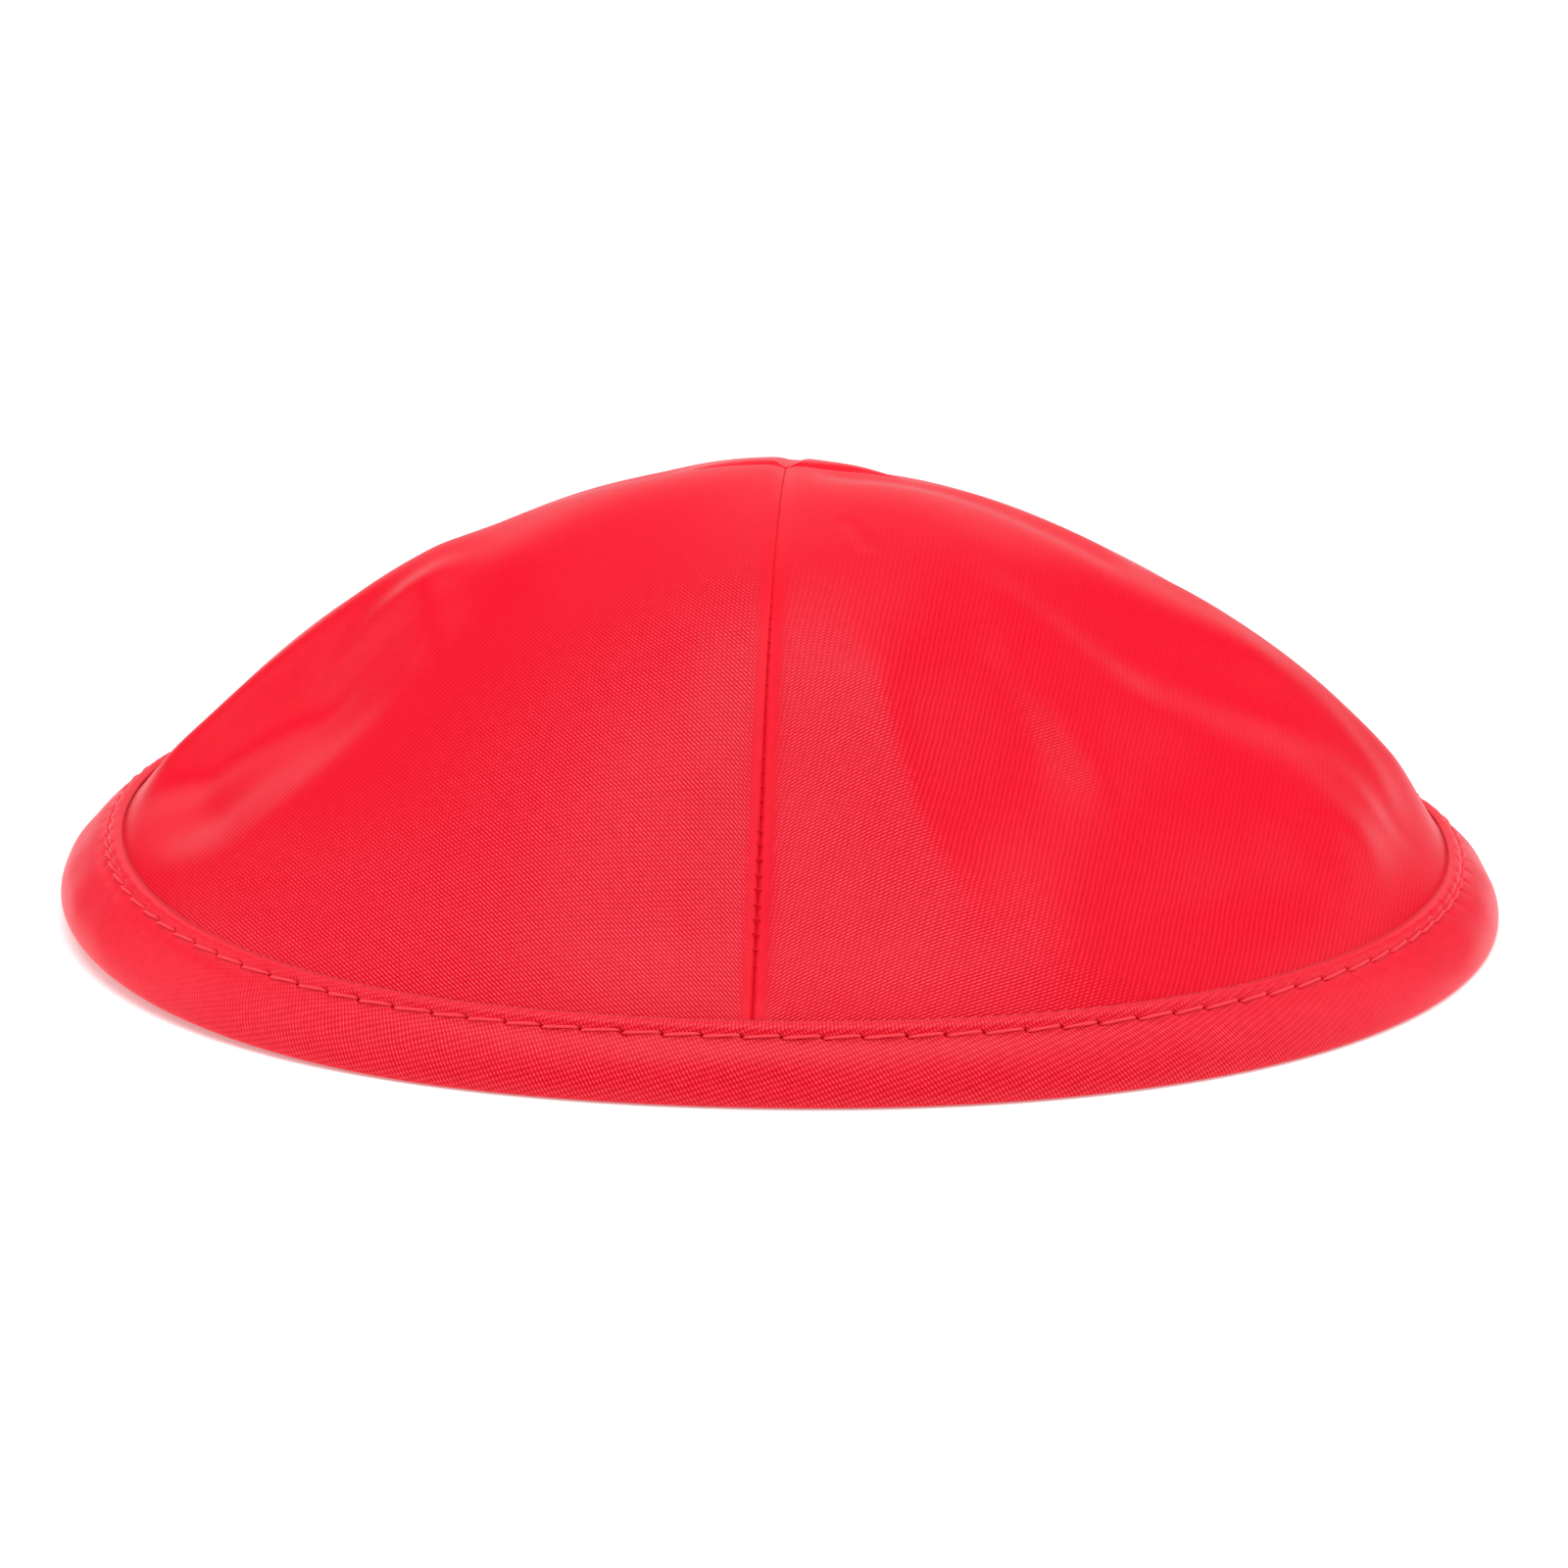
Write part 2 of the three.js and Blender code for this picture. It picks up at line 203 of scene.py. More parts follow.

# Mostly not set by hand: from rows listed first, least-squares programs made all numbers of the first 29 rows
# and the heights of the four after them. Only the three creases were left as first given.
FOLDS = (
    Fold("left_ridge_top", (-42, -12), (-41, -19), 4, 1.3),
    Fold("left_ridge", (-45, -26), (-59, -35), 3.7, 0.3),
    Fold("left_ridge_foot", (-56, -37), (-72, -36), 5.2, 0.35),
    Fold("left_upper_swell", (-40, -9), (-53, -9), 3.6, 1.35),
    Fold("left_side_hollow", (-56, -10), (-67, -8), 7, -3.1),
    Fold("left_valley", (-57, -19), (-70, -21), 9.5, -2.85),
    Fold("left_front_hollow", (-46, -28), (-49, -40), 17.6, -2.35),
    Fold("left_middle_hollow", (-19, -26), (-30, -40), 11.8, -1.15),
    Fold("left_seam_swell", (-10, -37), (-9, -51), 3.8, 0.35),
    Fold("left_hem_hollow", (-2, -55), (-13, -65), 11.1, -1.5),
    Fold("left_top_swell", (-3, -3), (-29, -12), 7.8, 0.95),
    Fold("left_crest_swell", (-41, -2), (-72, 0), 4.8, 1.35),
    Fold("right_top_hollow", (7, -4), (36, -4), 3.4, -0.65),
    Fold("right_seam_swell", (13, -17), (9, -37), 12.7, 1.95),
    Fold("right_seam_low_swell", (10, -44), (18, -63), 5.6, 1),
    Fold("right_dimple", (27, -42), (17, -61), 10.1, -1.8),
    Fold("right_front_hollow", (31, -48), (47, -46), 8.5, -1.15),
    Fold("right_short_ridge", (26, -34), (36, -43), 3.4, 0.6),
    Fold("right_long_ridge", (25, -26), (40, -29), 4.2, 0.5),
    Fold("right_long_ridge_end", (55, -28), (68, -12), 7.1, 1.9),
    Fold("right_upper_hollow", (42, -23), (73, -14), 11, -2.5),
    Fold("right_lower_hollow", (45, -37), (53, -31), 6.5, -1.8),
    Fold("right_crease_end", (37, -30), (40, -42), 4.1, -0.3),
    Fold("right_side_swell", (63, -32), (68, -42), 6.3, 1.1),
    Fold("right_end_ridge", (67, -21), (65, -33), 6, 1.05),
    Fold("right_hem_hollow", (46, -60), (61, -42), 9.3, -1.3),
    Fold("right_crest_hollow", (30, 0), (40, 4), 5.6, -0.55),
    Fold("right_crest_dip", (43, -2), (64, -3), 5.2, -0.75),
    Fold("right_shoulder", (56, -7), (74, 4), 9.1, 2),
    Fold("back_left_puff", (-9, 14), (-4, 15), 6, 0.2),
    Fold("back_right_dent", (4, 14), (7, 13), 5, -1),
    Fold("left_back_hollow", (-16, 6), (-70, 9), 6, -1.2),
    Fold("right_back_hollow", (16, 6), (70, 9), 6, -1.55),
    Fold("left_low_crease", (-12, -64), (-12, -71), 1.5, -0.22),
    Fold("right_low_crease", (5, -62), (4, -72), 1.8, -0.2),
    Fold("right_top_crease", (7, -20), (9, -24), 1.2, -0.15),
)


@dataclass
class CapForm:
    """The cap's whole form in millimetres: the rim, the binding's face and the crown over it.

    A turn counts quarters: 0 at the right seam, 1 at the back, 2 at the left and 3 at the front.
    """

    crown_height: float = 51.8
    panel_cloth: float = 1.1
    panel_depth: float = 1.3
    ring_at_rim: float = 2.0
    ring_turns_round_from: float = 0.45
    left_lift: float = 2.8
    left_lift_turn: float = 2.0
    left_lift_reach: float = 0.75
    fold_fade: float = 0.1
    ripple_lengths: tuple[float, float] = (14.0, 38.0)
    ripple_steepness: float = 0.0018
    middle: np.ndarray = field(default_factory=lambda: np.zeros(3))

    def centre_on(self, node: str) -> None:
        """Move the form so that its outline is centred on a node of the frame, as the solids are.

        Args:
            node: the rim's node, the widest of the cap.
        """
        turn = np.linspace(0, 4, 1441)
        outline = self.band_point(turn, self.quarter_of(turn), 3.6, -0.5)
        own = (outline.min(axis=0) + outline.max(axis=0)) / 2
        low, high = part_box(node)
        there = (np.array(low) + np.array(high)) / 2 / MM
        self.middle = np.array([there[0] - own[0], there[1] - own[1], 0.0])

    def in_metres(self, points: np.ndarray) -> np.ndarray:
        """Points of the form in the frame's metres."""
        return (points + self.middle) * MM

    def quarter_of(self, turn: np.ndarray) -> np.ndarray:
        """The quarter that each turn lies in, 0 to 3."""
        return np.minimum(np.floor(turn), 3).astype(int)

    def between_seams(self, column: str, turn: np.ndarray, quarter: np.ndarray) -> np.ndarray:
        """A column of the seam table carried from seam to seam by the square of a quarter sine.

        Args:
            column: the name of the column.
            turn: the turns.
            quarter: the quarter that each lies in.

        Returns:
            The value at each turn.
        """
        rows = np.array([getattr(seam, column) for seam in SEAMS])
        share = np.sin((turn - quarter) * HALF_PI) ** 2
        return rows[quarter] * (1 - share) + rows[(quarter + 1) % 4] * share

    def azimuth(self, turn: np.ndarray, quarter: np.ndarray) -> np.ndarray:
        """The angle from +X in radians, straight between the azimuths of two seams."""
        angles = np.radians([seam.azimuth for seam in SEAMS] + [360.0 + SEAMS[0].azimuth])
        return angles[quarter] + (angles[quarter + 1] - angles[quarter]) * (turn - quarter)

    def lift(self, turn: np.ndarray) -> np.ndarray:
        """How far the rim is off the table: an eased hump round the left end."""
        return self.left_lift * smooth(1 - np.abs(turn - self.left_lift_turn) / self.left_lift_reach)

    def rim_radius(self, turn: np.ndarray, quarter: np.ndarray) -> np.ndarray:
        """The lower fold's radius: that between the seams and the panel's swell, a half sine to its power.

        Args:
            turn: the turns.
            quarter: the quarter that each lies in.

        Returns:
            The radius at each turn.
        """
        swell = np.array([cut.rim_swell for cut in PANEL_CUTS])[quarter]
        power = np.array([cut.swell_power for cut in PANEL_CUTS])[quarter]
        wave = np.abs(np.sin(math.pi * (turn - quarter))) ** power
        return self.between_seams("rim_radius", turn, quarter) + swell * wave

    def slope(self, turn: np.ndarray, quarter: np.ndarray) -> tuple[np.ndarray, np.ndarray, np.ndarray]:
        """The binding's slope from lower fold to upper edge.

        Args:
            turn: the turns.
            quarter: the quarter that each lies in.

        Returns:
            How far it goes in, how far it goes up, and its width, which is the hypotenuse of both.
        """
        inset = self.between_seams("band_inset", turn, quarter)
        rise = self.between_seams("band_rise", turn, quarter)
        return inset, rise, np.hypot(inset, rise)

    def band_width(self, turn: np.ndarray, quarter: np.ndarray) -> np.ndarray:
        """The binding's width from lower fold to upper edge."""
        return self.slope(turn, quarter)[2]

    def at_radius(
        self, turn: np.ndarray, quarter: np.ndarray, radius: np.ndarray, height: np.ndarray
    ) -> np.ndarray:
        """Points at a radius and a height on the way out at each turn."""
        angle = self.azimuth(turn, quarter)
        return np.stack([radius * np.cos(angle), radius * np.sin(angle), height + 0 * angle], axis=-1)

    def band_point(
        self,
        turn: np.ndarray,
        quarter: np.ndarray,
        up: np.ndarray | float,
        depth: np.ndarray | float,
    ) -> np.ndarray:
        """Points on or behind the binding's straight face.

        The face slopes in and up from the lower fold. A point's radius is the rim's, less its distance
        up the face along the slope and its depth square to it, and its height follows the same way.

        Args:
            turn: the turns.
            quarter: the quarter that each lies in.
            up: distance up the face from the lower fold.
            depth: distance behind the face.

        Returns:
            One point for each turn.
        """
        inset, rise, width = self.slope(turn, quarter)
        radius = self.rim_radius(turn, quarter) - (up * inset + depth * rise) / width
        height = self.lift(turn) + (up * rise - depth * inset) / width
        return self.at_radius(turn, quarter, radius, height)

    def crown(self, turn: np.ndarray, quarter: np.ndarray, share: np.ndarray) -> np.ndarray:
        """The crown without folds: share 0 is its middle and 1 the binding's upper edge.

        Each level ring is an oval near the rim, and towards the top it is drawn to corners at the
        seams, as |cos|^p + |sin|^p = 1 with a power p that goes from 2 to the panel's own. The height
        falls from the top by the share to the power of the seam's fullness.

        Args:
            turn: the turns.
            quarter: the quarter that each lies in.
            share: the way down the crown.

        Returns:
            One point for each turn and share.
        """
        edge = self.band_point(turn, quarter, self.band_width(turn, quarter), self.panel_depth)
        edge_radius = np.hypot(edge[..., 0], edge[..., 1])
        edge_height = edge[..., 2]
        from_round = (share - self.ring_turns_round_from) / (1 - self.ring_turns_round_from)
        top = np.array([cut.corners for cut in PANEL_CUTS])[quarter]
        power = top + (self.ring_at_rim - top) * smooth(from_round)
        angle = turn * HALF_PI
        across = np.abs(np.cos(angle)) ** power + np.abs(np.sin(angle)) ** power
        radius = share * edge_radius * across ** (-1 / power)
        drop = share ** self.between_seams("fullness", turn, quarter)
        height = edge_height + (self.crown_height - edge_height) * (1 - drop)
        return self.at_radius(turn, quarter, radius, height)

    def fold_height(self, points: np.ndarray, folds: tuple[Fold, ...]) -> np.ndarray:
        """The sum of all folds, each a hump of the distance seen from above to its course.

        Args:
            points: points on the crown.
            folds: the folds to add up.

        Returns:
            The height out of the cloth at each point.
        """
        height = np.zeros(points.shape[:-1])
        for fold in folds:
            start = np.array(fold.start, float)
            course = np.array(fold.end, float) - start
            from_start = points[..., :2] - start
            share = np.clip(from_start @ course / (course @ course), 0, 1)
            away = from_start - share[..., None] * course
            height += fold.height * hump(np.hypot(away[..., 0], away[..., 1]), fold.width)
        return height

    def ripple(self, points: np.ndarray, seed: int = 21, count: int = 9) -> np.ndarray:
        """Faint waves of the cloth: plane waves of chance length and direction seen from above, added up.

        Args:
            points: points on the crown.
            seed: the chance's seed.
            count: the number of waves.

        Returns:
            The height out of the cloth at each point.
        """
        chance = np.random.default_rng(seed)
        shortest, longest = self.ripple_lengths
        height = np.zeros(points.shape[:-1])
        for _ in range(count):
            wavelength, direction, phase = chance.uniform((shortest, 0, 0), (longest, math.pi, math.tau))
            along = points[..., 0] * math.cos(direction) + points[..., 1] * math.sin(direction)
            height += self.ripple_steepness * wavelength * np.sin(math.tau * along / wavelength + phase)
        return height


class ClothMesh:
    """Collects grids of points and their faces, and makes one closed mesh of them."""

    def __init__(self) -> None:
        """Start with nothing."""
        self.points: list[np.ndarray] = []
        self.weave_and_glint_shares: list[np.ndarray] = []
        self.crosses: list[np.ndarray] = []
        self.pits: list[np.ndarray] = []
        self.count = 0
        self.faces: list[np.ndarray] = []
        self.corner_uvs: list[np.ndarray] = []
        self.materials: list[np.ndarray] = []

    def add_points(
        self,
        points: np.ndarray,
        weave_and_glint: np.ndarray | float = 1.0,
        cross: np.ndarray | float = 0.3,
        painted_shade: np.ndarray | float = 0.0,
    ) -> np.ndarray:
        """Add points of any layout.

        Args:
            points: the points.
            weave_and_glint: how strongly the weave's bump and its painted highlight and shade show at each, 0
                to 1.
            cross: how far its cross lines stand out before its ribs, 0 to 1.
            painted_shade: how far the colour is darkened as painted shade in a stitch hole or a seam's
                bottom, 0 to 1.

        Returns:
            Their numbers in the same layout.
        """
        flat = points.reshape(-1, 3)
        numbers = np.arange(self.count, self.count + len(flat)).reshape(points.shape[:-1])
        self.points.append(flat)
        self.weave_and_glint_shares.append(np.broadcast_to(weave_and_glint, points.shape[:-1]).reshape(-1))
        self.crosses.append(np.broadcast_to(cross, points.shape[:-1]).reshape(-1))
        self.pits.append(np.broadcast_to(painted_shade, points.shape[:-1]).reshape(-1))
        self.count += len(flat)
        return numbers

    def add_faces(self, corners: np.ndarray, uvs: np.ndarray, material: int = 0) -> None:
        """Add faces.

        Args:
            corners: point numbers, one row for each face.
            uvs: a UV for each corner, in metres of cloth.
            material: the material's place on the object.
        """
        self.faces.append(corners)
        self.corner_uvs.append(uvs)
        self.materials.append(np.full(len(corners), material))

    def add_grid(self, numbers: np.ndarray, uv: np.ndarray, flip: bool = False, material: int = 0) -> None:
        """Add the quads of a grid. They point out where rows run down and columns anticlockwise.

        Args:
            numbers: the grid's point numbers.
            uv: the grid's UVs.
            flip: turn the faces round.
            material: the material's place on the object.
        """

        def corners(values: np.ndarray) -> np.ndarray:
            """The four corners of each quad.

            Args:
                values: a grid of numbers or of UVs.

            Returns:
                One row of quads for each row of the grid but the last, with the corners in order.
            """
            four = [values[:-1, :-1], values[1:, :-1], values[1:, 1:], values[:-1, 1:]]
            if flip:
                four.reverse()
            return np.stack(four, axis=2)

        self.add_faces(corners(numbers).reshape(-1, 4), corners(uv).reshape(-1, 4, 2), material)

    def add_pole(
        self, pole: int, ring: np.ndarray, uv: np.ndarray, flip: bool = False, material: int = 0
    ) -> None:
        """Close a grid's first row with a fan round one point, whose UV is 0.

        Args:
            pole: the pole's point number.
            ring: the point numbers of the grid's first row.
            uv: that row's UVs.
            flip: turn the faces round.
            material: the material's place on the object.
        """
        three = [np.full(len(ring) - 1, pole), ring[:-1], ring[1:]]
        three_uv = [np.zeros((len(ring) - 1, 2)), uv[:-1], uv[1:]]
        if flip:
            three.reverse()
            three_uv.reverse()
        self.add_faces(np.stack(three, axis=1), np.stack(three_uv, axis=1), material)

    def volume(self, points: np.ndarray) -> float:
        """Six times the body's volume: the tetrahedra from the origin to each face, added up.

        Args:
            points: all the points.

        Returns:
            The sum, below 0 where the faces point in.
        """
        total = 0.0
        for faces in self.faces:
            for corner in range(1, faces.shape[1] - 1):
                a, b, c = (points[faces[:, place]] for place in (0, corner, corner + 1))
                total += float(np.einsum("ij,ij->", a, np.cross(b, c)))
        return total

    def make(self, name: str) -> bpy.types.Object:
        """Put everything into a mesh object at the origin, with its faces turned out.

        Args:
            name: the object's name.

        Returns:
            The object, in the scene.
        """
        points = np.concatenate(self.points)
        step = 1 if self.volume(points) > 0 else -1
        rows = [row[::step] for faces in self.faces for row in faces.tolist()]
        uvs = np.concatenate([uv[:, ::step].reshape(-1, 2) for uv in self.corner_uvs])
        mesh = bpy.data.meshes.new(name)
        mesh.from_pydata(points.tolist(), [], rows)
        layer = mesh.uv_layers.new(name=CLOTH_UV)
        layer.data.foreach_set("uv", uvs.astype(np.float32).ravel())
        for label, values in ((WEAVE_AND_GLINT, self.weave_and_glint_shares), (CROSS, self.crosses), (PAINTED_SHADE, self.pits)):
            layer = mesh.attributes.new(label, "FLOAT", "POINT")
            layer.data.foreach_set("value", np.concatenate(values).astype(np.float32))
        mesh.polygons.foreach_set("material_index", np.concatenate(self.materials).astype(np.int32))
        mesh.polygons.foreach_set("use_smooth", np.ones(len(rows), bool))
        mesh.update()
        return put_in_scene(name, mesh)


def tubes(mesh: ClothMesh, paths: np.ndarray, outward: np.ndarray, radii: np.ndarray, sides: int) -> None:
    """Add a closed tube along each path.

    The ring at a path's point is round: the outward direction times the cosine and the cross product of
    the path's direction and it times the sine.

    Args:
        mesh: takes the tubes.
        paths: points in metres, one row for each thread.
        outward: a direction out of the cloth at each point.
        radii: the radius at each point along a path, in metres.
        sides: the sides of a ring.
    """
    tangent = np.gradient(paths, axis=1)
    tangent /= np.linalg.norm(tangent, axis=-1, keepdims=True)
    across = np.cross(tangent, outward)
    across /= np.linalg.norm(across, axis=-1, keepdims=True)
    lifted = np.cross(across, tangent)
    angle = np.linspace(0, math.tau, sides + 1)[:-1]
    ring = (
        lifted[:, :, None] * np.cos(angle)[None, None, :, None]
        + across[:, :, None] * np.sin(angle)[None, None, :, None]
    )
    points = paths[:, :, None] + ring * np.broadcast_to(radii, paths.shape[:2])[:, :, None, None]
    numbers = mesh.add_points(points)
    closed = np.concatenate([numbers, numbers[:, :, :1]], axis=2)
    length = way_along(paths, axis=1)
    round_share = np.linspace(0, 1, sides + 1) * math.tau * float(np.max(radii))
    uv = np.stack(np.broadcast_arrays(length[:, :, None], round_share[None, None, :]), axis=-1)
    four = [(0, 0), (1, 0), (1, 1), (0, 1)]

    def corners(values: np.ndarray) -> np.ndarray:
        """The four corners of each side of each tube.

        Args:
            values: one grid of numbers or of UVs for each tube.

        Returns:
            The corners in order.
        """
        rows, columns = values.shape[1] - 1, values.shape[2] - 1
        return np.stack([values[:, r : r + rows, c : c + columns] for r, c in four], axis=3)

    mesh.add_faces(corners(closed).reshape(-1, 4), corners(uv).reshape(-1, 4, 2))
    mesh.add_faces(numbers[:, 0], uv[:, 0, :-1])
    mesh.add_faces(numbers[:, -1, ::-1], uv[:, -1, -2::-1])


@dataclass(frozen=True)
class SatinFinish:
    """Satin: fine slanting ribs of thread broken into short floats, glossy over the threads.

    The floats of one rib are set over against the next rib's as in a five-shaft satin, so they line up
    in a second, wider set of slanting lines, the cross lines. Angles are in degrees in the cloth's own
    plane, and lengths are in millimetres. Over a strip from the cloth's zero line down to hatch_width,
    the ribs run square to that line instead. The number dots says how plainly the floats show one by one.
    """

    name: str
    # The ramp from deep to bright is painted shade between the floats and painted highlight on them; bright's
    # pink is a painted glint.
    deep: tuple[float, float, float] = (0.47, 0.0, 0.005)
    middle: tuple[float, float, float] = (0.785, 0.0015, 0.017)
    light: tuple[float, float, float] = (0.92, 0.005, 0.028)
    bright: tuple[float, float, float] = (1.0, 0.062, 0.098)
    # painted_shade: the dark colour mixed in as painted shade in stitch holes and at the seams' bottoms.
    painted_shade: tuple[float, float, float] = (0.72, 0.0, 0.008)
    angle: float = -12.0
    rib: float = 0.375
    cross_angle: float = 41.0
    cross: float = 0.60
    contrast: float = 1.65
    rib_height: float = 0.024
    hatch_width: float = 0.0
    hatch_pitch: float = 1.1
    dots: float = 0.2
    relief: float = 0.42
    bend: float = 0.6
    bend_scale: float = 240.0
    mottle: float = 0.3
    mottle_scale: float = 900.0
    bright_from: float = 0.82
    roughness: float = 0.37
    specular: float = 0.13
    specular_tint: tuple[float, float, float] = (1.0, 0.8, 0.88)
    sheen: float = 0.19
    sheen_roughness: float = 0.35
    sheen_tint: tuple[float, float, float] = (1.0, 0.55, 0.62)
    anisotropy: float = 0.4

    def make(self) -> bpy.types.Material:
        """Build the material's nodes.

        Returns:
            The material.
        """
        gloss = {
            "Roughness": self.roughness,
            "Specular IOR Level": self.specular,
            "Specular Tint": (*self.specular_tint, 1.0),
            "Sheen Weight": self.sheen,
            "Sheen Roughness": self.sheen_roughness,
            "Sheen Tint": (*self.sheen_tint, 1.0),
            "Anisotropic": self.anisotropy,
        }
        material, shader, wire = start_material(self.name, gloss)
        cloth = wire.uv()
        weave_and_glint_share = wire.attribute(WEAVE_AND_GLINT)
        threads = self.threads(wire, cloth)
        bump = wire.add("ShaderNodeBump")
        bump.inputs["Distance"].default_value = self.rib_height * MM
        wire.link(weave_and_glint_share, bump.inputs["Strength"])
        wire.link(threads, bump.inputs["Height"])
        wire.link(bump.outputs["Normal"], shader.inputs["Normal"])

        colour = wire.add("ShaderNodeValToRGB")
        stops = colour.color_ramp.elements
        stops.new(0.5)
        stops.new(self.bright_from)
        for stop, shade in zip(stops, (self.deep, self.middle, self.light, self.bright)):
            stop.color = (*shade, 1.0)
        # The colour swings along the ramp with the threads' height, as far as the weave_and_glint share says:
        # painted highlight on the floats, painted shade between them.
        plain = wire.math("MULTIPLY_ADD", wire.attribute(CROSS), -0.5 * self.contrast, self.contrast)
        strength = wire.math("MULTIPLY", weave_and_glint_share, plain)
        even = wire.math("MULTIPLY_ADD", wire.math("SUBTRACT", threads, 0.5), strength, 0.5)
        mottle = wire.noise(cloth, scale=self.mottle_scale, detail=3.0)
        wire.link(wire.math("MULTIPLY_ADD", mottle, self.mottle, even), colour.inputs["Fac"])
        # Painted shade: the colour is mixed towards the dark painted_shade colour where the mesh marks a hole
        # or a seam's bottom.
        shade = wire.add("ShaderNodeMix")
        shade.data_type = "RGBA"
        shade.inputs[7].default_value = (*self.painted_shade, 1.0)
        wire.link(colour.outputs["Color"], shade.inputs[6])
        wire.link(wire.attribute(PAINTED_SHADE), shade.inputs["Factor"])
        wire.link(shade.outputs[2], shader.inputs["Base Color"])

        tangent = wire.add("ShaderNodeTangent")
        tangent.direction_type = "UV_MAP"
        tangent.uv_map = CLOTH_UV
        wire.link(tangent.outputs["Tangent"], shader.inputs["Tangent"])
        return material

    def threads(self, wire: "NodeWire", cloth: bpy.types.NodeSocket) -> bpy.types.NodeSocket:
        """The height of the threads, about 0 to 1.

        The ribs and the cross lines are two sine waves over the cloth. Where the cloth's cross number
        is low the ribs stand out, and where it is high the cross lines. The product of both waves
        breaks them into floats. A slow noise bends the lines a little.

        Args:
            wire: the material's nodes.
            cloth: the place on the cloth in metres.

        Returns:
            The height.
        """
        axes = wire.add("ShaderNodeSeparateXYZ")
        wire.link(cloth, axes.inputs["Vector"])
        u, v = axes.outputs["X"], axes.outputs["Y"]
        bend = wire.noise(cloth, scale=self.bend_scale, detail=2.0)
        rib = self.wave(wire, u, v, self.angle, self.rib, bend)
        if self.hatch_width:
            square = self.wave(wire, u, v, 90.0, self.rib * self.hatch_pitch, bend)
            strip = wire.math("GREATER_THAN", v, -self.hatch_width * MM)
            rib = wire.math("MULTIPLY_ADD", wire.math("SUBTRACT", square, rib), strip, rib)
        cross = self.wave(wire, u, v, self.cross_angle, self.cross, bend)
        share = wire.attribute(CROSS)
        lines = wire.math("MULTIPLY_ADD", wire.math("SUBTRACT", cross, rib), share, rib)
        floats = wire.math("MULTIPLY", rib, cross)
        height = wire.math("MULTIPLY_ADD", floats, self.dots, lines)
        return wire.math("MULTIPLY_ADD", height, self.relief, 0.5)

    def wave(
        self,
        wire: "NodeWire",
        u: bpy.types.NodeSocket,
        v: bpy.types.NodeSocket,
        angle: float,
        pitch: float,
        bend: bpy.types.NodeSocket,
    ) -> bpy.types.NodeSocket:
        """A sine wave over the cloth, whose crests run at an angle.

        Args:
            wire: the material's nodes.
            u: the place across the cloth in metres.
            v: the place along it.
            angle: the crests' angle from the way across, in degrees.
            pitch: the millimetres from one crest to the next.
            bend: what shifts the crests.

        Returns:
            The wave, from -1 to 1.
        """
        turn = math.radians(angle)
        across = wire.math("MULTIPLY", v, math.cos(turn) / (pitch * MM))
        across = wire.math("MULTIPLY_ADD", u, -math.sin(turn) / (pitch * MM), across)
        across = wire.math("MULTIPLY_ADD", bend, self.bend, across)
        return wire.math("SINE", wire.math("MULTIPLY", across, math.tau))


class NodeWire:
    """Adds and links the nodes of one material."""

    def __init__(self, tree: bpy.types.NodeTree) -> None:
        """Keep the material's tree."""
        self.tree = tree

    def add(self, kind: str) -> bpy.types.Node:
        """Add a node."""
        return self.tree.nodes.new(kind)

    def link(self, start: bpy.types.NodeSocket, end: bpy.types.NodeSocket) -> None:
        """Link two sockets."""
        self.tree.links.new(start, end)

    def math(self, operation: str, *values: bpy.types.NodeSocket | float) -> bpy.types.NodeSocket:
        """Add a Math node.

        Args:
            operation: what it does.
            values: a socket or a number for each input.

        Returns:
            Its result.
        """
        node = self.add("ShaderNodeMath")
        node.operation = operation
        for place, value in enumerate(values):
            if isinstance(value, (int, float)):
                node.inputs[place].default_value = value
            else:
                self.link(value, node.inputs[place])
        return node.outputs["Value"]

    def uv(self) -> bpy.types.NodeSocket:
        """Read the mesh's UV.

        Returns:
            The place on the cloth in metres.
        """
        node = self.add("ShaderNodeUVMap")
        node.uv_map = CLOTH_UV
        return node.outputs["UV"]

    def attribute(self, name: str) -> bpy.types.NodeSocket:
        """Read a number kept on the mesh's points.

        Args:
            name: the attribute's name.

        Returns:
            The number.
        """
        node = self.add("ShaderNodeAttribute")
        node.attribute_name = name
        return node.outputs["Fac"]

    def noise(self, vector: bpy.types.NodeSocket, scale: float, detail: float) -> bpy.types.NodeSocket:
        """Add a noise, moved to lie round zero.

        Args:
            vector: where it is read.
            scale: its waves to the metre.
            detail: its octaves.

        Returns:
            A value from about -0.5 to 0.5.
        """
        node = self.add("ShaderNodeTexNoise")
        node.inputs["Scale"].default_value = scale
        node.inputs["Detail"].default_value = detail
        self.link(vector, node.inputs["Vector"])
        return self.math("SUBTRACT", node.outputs["Fac"], 0.5)


def start_material(
    name: str, values: dict[str, float | tuple[float, ...]]
) -> tuple[bpy.types.Material, bpy.types.Node, NodeWire]:
    """Make a material and set what is the same all over it on the shader's own sockets.

    Args:
        name: the material's name.
        values: a number or a colour for each socket named.

    Returns:
        The material, its shader and what wires its nodes.
    """
    material = bpy.data.materials.new(name)
    material.use_nodes = True
    shader = material.node_tree.nodes["Principled BSDF"]
    for socket, value in values.items():
        shader.inputs[socket].default_value = value
    return material, shader, NodeWire(material.node_tree)


